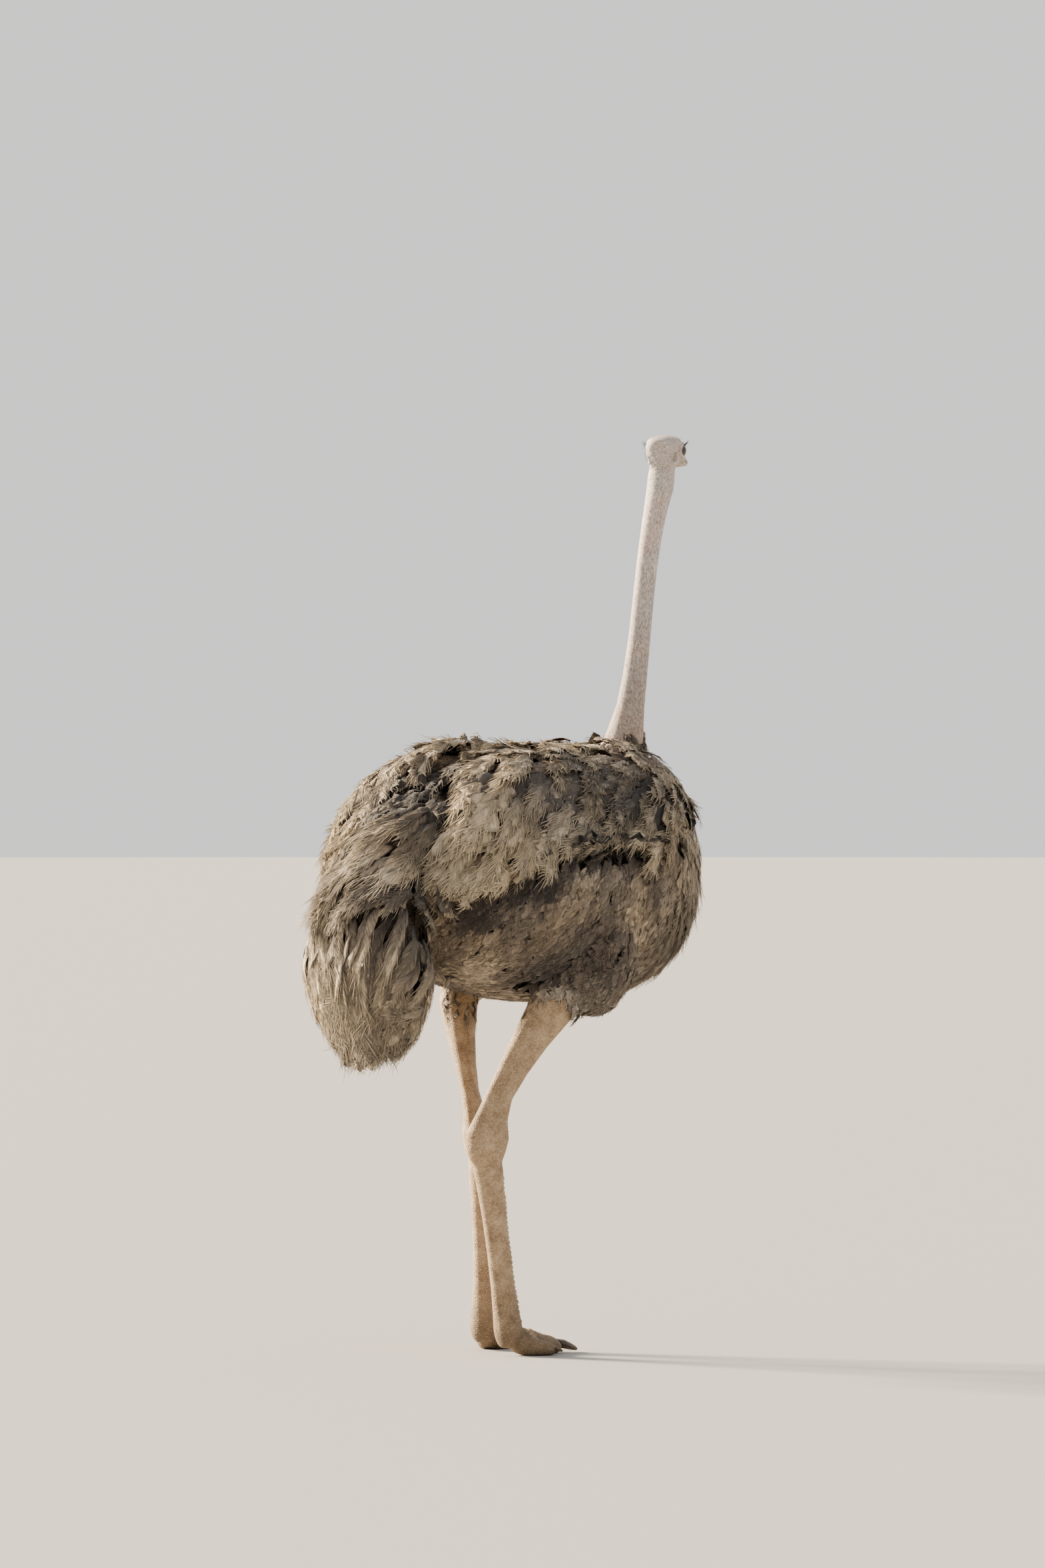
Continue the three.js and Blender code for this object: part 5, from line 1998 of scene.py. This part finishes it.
def bristle_shape():
    """A tapering three-sided bristle one unit long that curves up from its root."""
    t = np.arange(BRISTLE_ROWS)[:, None] / BRISTLE_ROWS
    turn = 2 * np.pi * np.arange(3) / 3
    wide = 0.024 * (1 - 0.75 * t)
    rings = np.stack([wide * np.cos(turn), t + 0 * turn, 0.35 * t * t + wide * np.sin(turn)], -1)
    quads, tris = ring_faces(1, 3, BRISTLE_ROWS)
    points = with_tips(rings[None], np.array([[0, 1, 0.35]]))
    mesh, _ = mesh_from_arrays("bristle", points, quads[:, ::-1], tris[:, ::-1])
    shape = new_object("bristle_shape", mesh)
    shape.hide_render = True
    return shape


LASHES = 34
LASH_LENGTH = 12 * MM
EAR_BRISTLES = 18
bristle = bristle_shape()
lash_random = np.random.default_rng(SEED + 2)


def lash_line(side):
    """Roots, turns and sizes of the lashes along the upper lid of one eye."""
    _, _, _, (axis, front, top) = around_eye(np.zeros((1, 3)), side)
    middle = np.array([SIDES[side] * EYE_SPREAD, 0, 0])
    points, turns, sizes = [], [], []
    for turn in np.radians(np.linspace(22, 165, LASHES)):
        angle = math.radians(float(opening(np.array([turn]))[0]) + 1.2)
        ring = math.cos(turn) * front + math.sin(turn) * top
        out = math.cos(angle) * axis + math.sin(angle) * ring
        points.append(from_head(middle + (EYE_RADIUS + 1.4 * MM) * out)[0])
        along = 0.95 * axis + 0.5 * ring + 0.3 * np.array([0, 0.5, 0.3]) + 0.13 * lash_random.normal(size=3)
        turns.append(facing(along @ head_axes, ring @ head_axes))
        length = LASH_LENGTH * (0.75 + 0.35 * math.sin(turn))
        sizes.append((length, length, length))
    return points, turns, sizes


def ear_line(side):
    """Roots, turns and sizes of the bristles round one ear."""
    sign = SIDES[side]
    points, turns, sizes = [], [], []
    for turn in np.linspace(0, 2 * np.pi, EAR_BRISTLES, endpoint=False):
        ahead, up = -36 + 8.5 * math.cos(turn), -14 + 10.5 * math.sin(turn)
        aim = from_head(np.array([sign * 60, ahead, up]) * MM)[0]
        found = skin_tree.ray_cast(Vector(aim), Vector(-sign * head_left))[0]
        if found is None:
            continue
        points.append(tuple(found - Vector(sign * head_left) * 0.4 * MM))
        way = np.array([sign * 0.5, -0.75 - 0.3 * math.cos(turn), -0.25 - 0.4 * math.sin(turn)]) @ head_axes
        turns.append(facing(way, sign * head_left))
        sizes.append((9 * MM, 9 * MM, 9 * MM))
    return points, turns, sizes


def bristles(name, lines, seed):
    """A piece of bristles from several lines of roots."""
    points, turns, sizes = (sum((list(line[k]) for line in lines), []) for k in range(3))
    piece = set_out(name, bristle, points, turns, sizes, 0.2, seed, bristle_finish)
    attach(piece, "root")


bristles("lashes", [lash_line(side) for side in SIDES], 3)
bristles("ear_bristles", [ear_line(side) for side in SIDES], 4)

# %% [markdown]
# Down the front of the tarsus and over the toes runs a single row of broad horny plates that
# overlap like tiles, because that is what strikes grass and stones. The rest of the leg has
# fine netted scales, which are only as deep as a bump.

# %% The shape of a plate
def plate_shape():
    """A curved tile one unit wide and long, closed, thicker at its free lower edge."""
    mesh = bpy.data.meshes.new("plate")
    across, along = 8, 5
    points, faces = [], []
    for layer in (1, 0):
        for k in range(along + 1):
            v = k / along - 0.5
            for j in range(across + 1):
                u = 2 * j / across - 1
                narrow = 1 - 0.35 * (2 * abs(v)) ** 3
                lift = (0.16 + 0.14 * (v + 0.5)) * math.sqrt(1 - u**4) if layer else -0.12
                points.append((0.5 * u * narrow, v, lift - 0.24 * u * u))
    side = (across + 1) * (along + 1)
    for k in range(along):
        for j in range(across):
            a = k * (across + 1) + j
            b = a + across + 1
            faces.append((a, a + 1, b + 1, b))
            faces.append((side + a, side + b, side + b + 1, side + a + 1))
    wide = across + 1
    rim = [*range(across)] + [k * wide + across for k in range(along)]
    rim += [along * wide + j for j in range(across, 0, -1)] + [k * wide for k in range(along, 0, -1)]
    for a, b in zip(rim, rim[1:] + rim[:1]):
        faces.append((b, a, side + a, side + b))
    mesh.from_pydata(points, [], faces)
    with opened(mesh) as work:
        bmesh.ops.recalc_face_normals(work, faces=work.faces)
    shape = new_object("plate_shape", mesh)
    shape.hide_render = True
    return shape


plate = plate_shape()


# %% Rows of plates
def leg_front(side):
    """The way a leg faces on the ground, from its tarsus to its big toe."""
    toe, _ = box_middle(f"toe_big_{side}")
    heel, _ = box_middle(f"tarsus_{side}")
    way = toe - heel
    way[2] = 0
    return way / np.linalg.norm(way)


def row_of_plates(starts, outward, wide, long, lift):
    """Plates on the skin where rays from the starts back along outward meet it, along the row."""
    hits = []
    for start, out in zip(starts, outward):
        found, normal, _, _ = skin_tree.ray_cast(Vector(start), Vector(-out))
        if found is not None:
            hits.append((np.array(found), np.array(normal)))
    points, turns, sizes = [], [], []
    for k, (place, normal) in enumerate(hits):
        after = hits[min(k + 1, len(hits) - 1)][0]
        before = hits[max(k - 1, 0)][0]
        share = k / max(len(hits) - 1, 1)
        points.append(tuple(place + normal * lift))
        turns.append(facing(after - before, normal))
        sizes.append((wide(share), long(share), wide(share) * 0.75))
    return points, turns, sizes


TARSUS_PLATES = 30
TOE_PLATES = 15


def tarsus_row(side):
    """The plates down the front of one tarsus."""
    front = leg_front(side)
    heights = np.linspace(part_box(f"tarsus_{side}")[1].z - 0.045, 0.075, TARSUS_PLATES)
    middle = box_middle(f"tarsus_{side}")[0]
    starts = []
    for height in heights:
        ring = skin_points_now[np.abs(skin_points_now[:, 2] - height) < 0.004]
        ring = ring[np.linalg.norm(ring[:, :2] - middle[:2], axis=1) < 0.12]
        centre = ring.mean(0)
        starts.append(np.array([centre[0], centre[1], height]) + front * 0.12)
    gap = abs(heights[1] - heights[0])
    return row_of_plates(
        starts, [front] * TARSUS_PLATES,
        lambda s: 0.036 - 0.004 * math.sin(math.pi * s), lambda s: 1.25 * gap,
        -1.6 * MM,
    )


def toe_row(side, size, count, wide):
    """The plates along the top of one toe."""
    toe, _ = box_middle(f"toe_{size}_{side}")
    claw, _ = box_middle(f"claw_{size}_{side}")
    low_ring = skin_points_now[np.abs(skin_points_now[:, 2] - 0.05) < 0.004]
    low_ring = low_ring[np.linalg.norm(low_ring[:, :2] - toe[:2], axis=1) < 0.09]
    ankle = low_ring.mean(0)[:2]
    reach = claw[:2] - ankle
    starts = [np.array([*(ankle + reach * share), 0.2]) for share in np.linspace(0.16, 0.9, count)]
    length = float(np.linalg.norm(reach)) * 0.74 / (count - 1)
    up = np.array([0.0, 0, 1])
    return row_of_plates(
        starts, [up] * count, lambda s: wide * (1 - 0.35 * s), lambda s: 1.3 * length, -1.2 * MM
    )


skin_points_now = points_of(skin_mesh)
rows = {f"plates_tarsus_{side}": tarsus_row(side) for side in SIDES}
for side in SIDES:
    rows[f"plates_toe_big_{side}"] = toe_row(side, "big", TOE_PLATES, 0.03)
    rows[f"plates_toe_small_{side}"] = toe_row(side, "small", 10, 0.02)
for seed, (name, (points, turns, sizes)) in enumerate(rows.items()):
    piece = set_out(name, plate, points, turns, sizes, 0.05, seed, plate_finish)
    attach(piece, "root")

# %% [markdown]
# ## Floor, light and camera
#
# The stage is a plain pale floor under a pale sky of even light, which fills the shade. One
# soft key light stands low on the bird's far side, so that the plumes' edges catch it. The
# camera is far off with a long lens, as one watches a shy bird.

# %% The camera
LENS = 200
SENSOR = 36
CAMERA_TURN = math.radians(223)
CAMERA_HEIGHT = 1.297
SHOWN_HEIGHT = 3.4087
AIM = Vector((0, 0, 1.2304))
away = Vector((math.sin(CAMERA_TURN), -math.cos(CAMERA_TURN), 0))
rightwards = Vector((0, 0, 1)).cross(away)
distance = SHOWN_HEIGHT * LENS / SENSOR

camera = bpy.data.objects.new("camera", bpy.data.cameras.new("camera"))
bpy.context.scene.collection.objects.link(camera)
camera.data.lens = LENS
camera.data.sensor_width = SENSOR
camera.data.sensor_fit = "AUTO"
camera.data.clip_end = 200
camera.location = AIM + away * distance
camera.location.z = CAMERA_HEIGHT
camera.rotation_euler = (AIM - camera.location).to_track_quat("-Z", "Y").to_euler()
bpy.context.scene.camera = camera
print("camera at", [round(x, 2) for x in camera.location])

# %% The floor
FLOOR_REACH = 90
floor_mesh = bpy.data.meshes.new("floor")
with opened(floor_mesh) as ring:
    bmesh.ops.create_circle(ring, cap_ends=True, segments=96, radius=FLOOR_REACH)
floor = new_object("floor", floor_mesh)
floor_paint, _, _ = material("pale_floor", 0.8, Base_Color=(0.42, 0.41, 0.4, 1))
floor_mesh.materials.append(floor_paint)
floor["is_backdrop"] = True


# %% The lights
key = bpy.data.lights.new("key", "SUN")
key.angle = math.radians(16)
key.energy = 15
key.color = (1, 0.85, 0.64)
lamp = bpy.data.objects.new("key", key)
bpy.context.scene.collection.objects.link(lamp)
lamp.location = -4.2 * rightwards - 2.2 * away + Vector((0, 0, 2.9))
lamp.rotation_euler = (Vector((0, 0, 1)) - lamp.location).to_track_quat("-Z", "Y").to_euler()
world = bpy.data.worlds.new("sky")
world.use_nodes = True
world.node_tree.nodes["Background"].inputs["Color"].default_value = (0.93, 0.93, 0.92, 1)
world.node_tree.nodes["Background"].inputs["Strength"].default_value = 0.85
bpy.context.scene.world = world
bpy.context.scene.view_settings.view_transform = "AgX"
bpy.context.scene.view_settings.look = "AgX - Medium High Contrast"

# %% [markdown]
# ## What stands for what
#
# The one skin stands for all the feathered and bare flesh of the solids, and everything
# rides on the one body of a still bird.

# %% The skin in place of the solids it stands for
FLESH = ["trunk", "head", "neck_lower", "neck_middle", "neck_upper"]
for part in ("wing", "thigh", *BARE):
    FLESH += [f"{part}_{side}" for side in SIDES]
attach(skin, "root")
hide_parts("tail", *FLESH)
print("the skin replaces", len(FLESH) + 1, "solids")

# %% Sizes and the end
for shape in (bristle, plate):
    bpy.data.objects.remove(shape)
pieces_now = [o for o in bpy.context.scene.objects if o.type == "MESH" and not o.hide_render]
counts = {o.name: sum(len(p.vertices) - 2 for p in o.data.polygons) for o in pieces_now}
print("triangles:", counts, "in all", sum(counts.values()))
visual_low, visual_high = (np.array(corner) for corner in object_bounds())
sizes = {"cad": [cad_low.tolist(), cad_high.tolist()], "visual": [visual_low.tolist(), visual_high.tolist()]}
proud = np.round([(cad_low - visual_low) / MM, (visual_high - cad_high) / MM], 1)
print("stands proud by", proud[0], "and", proud[1], "mm")
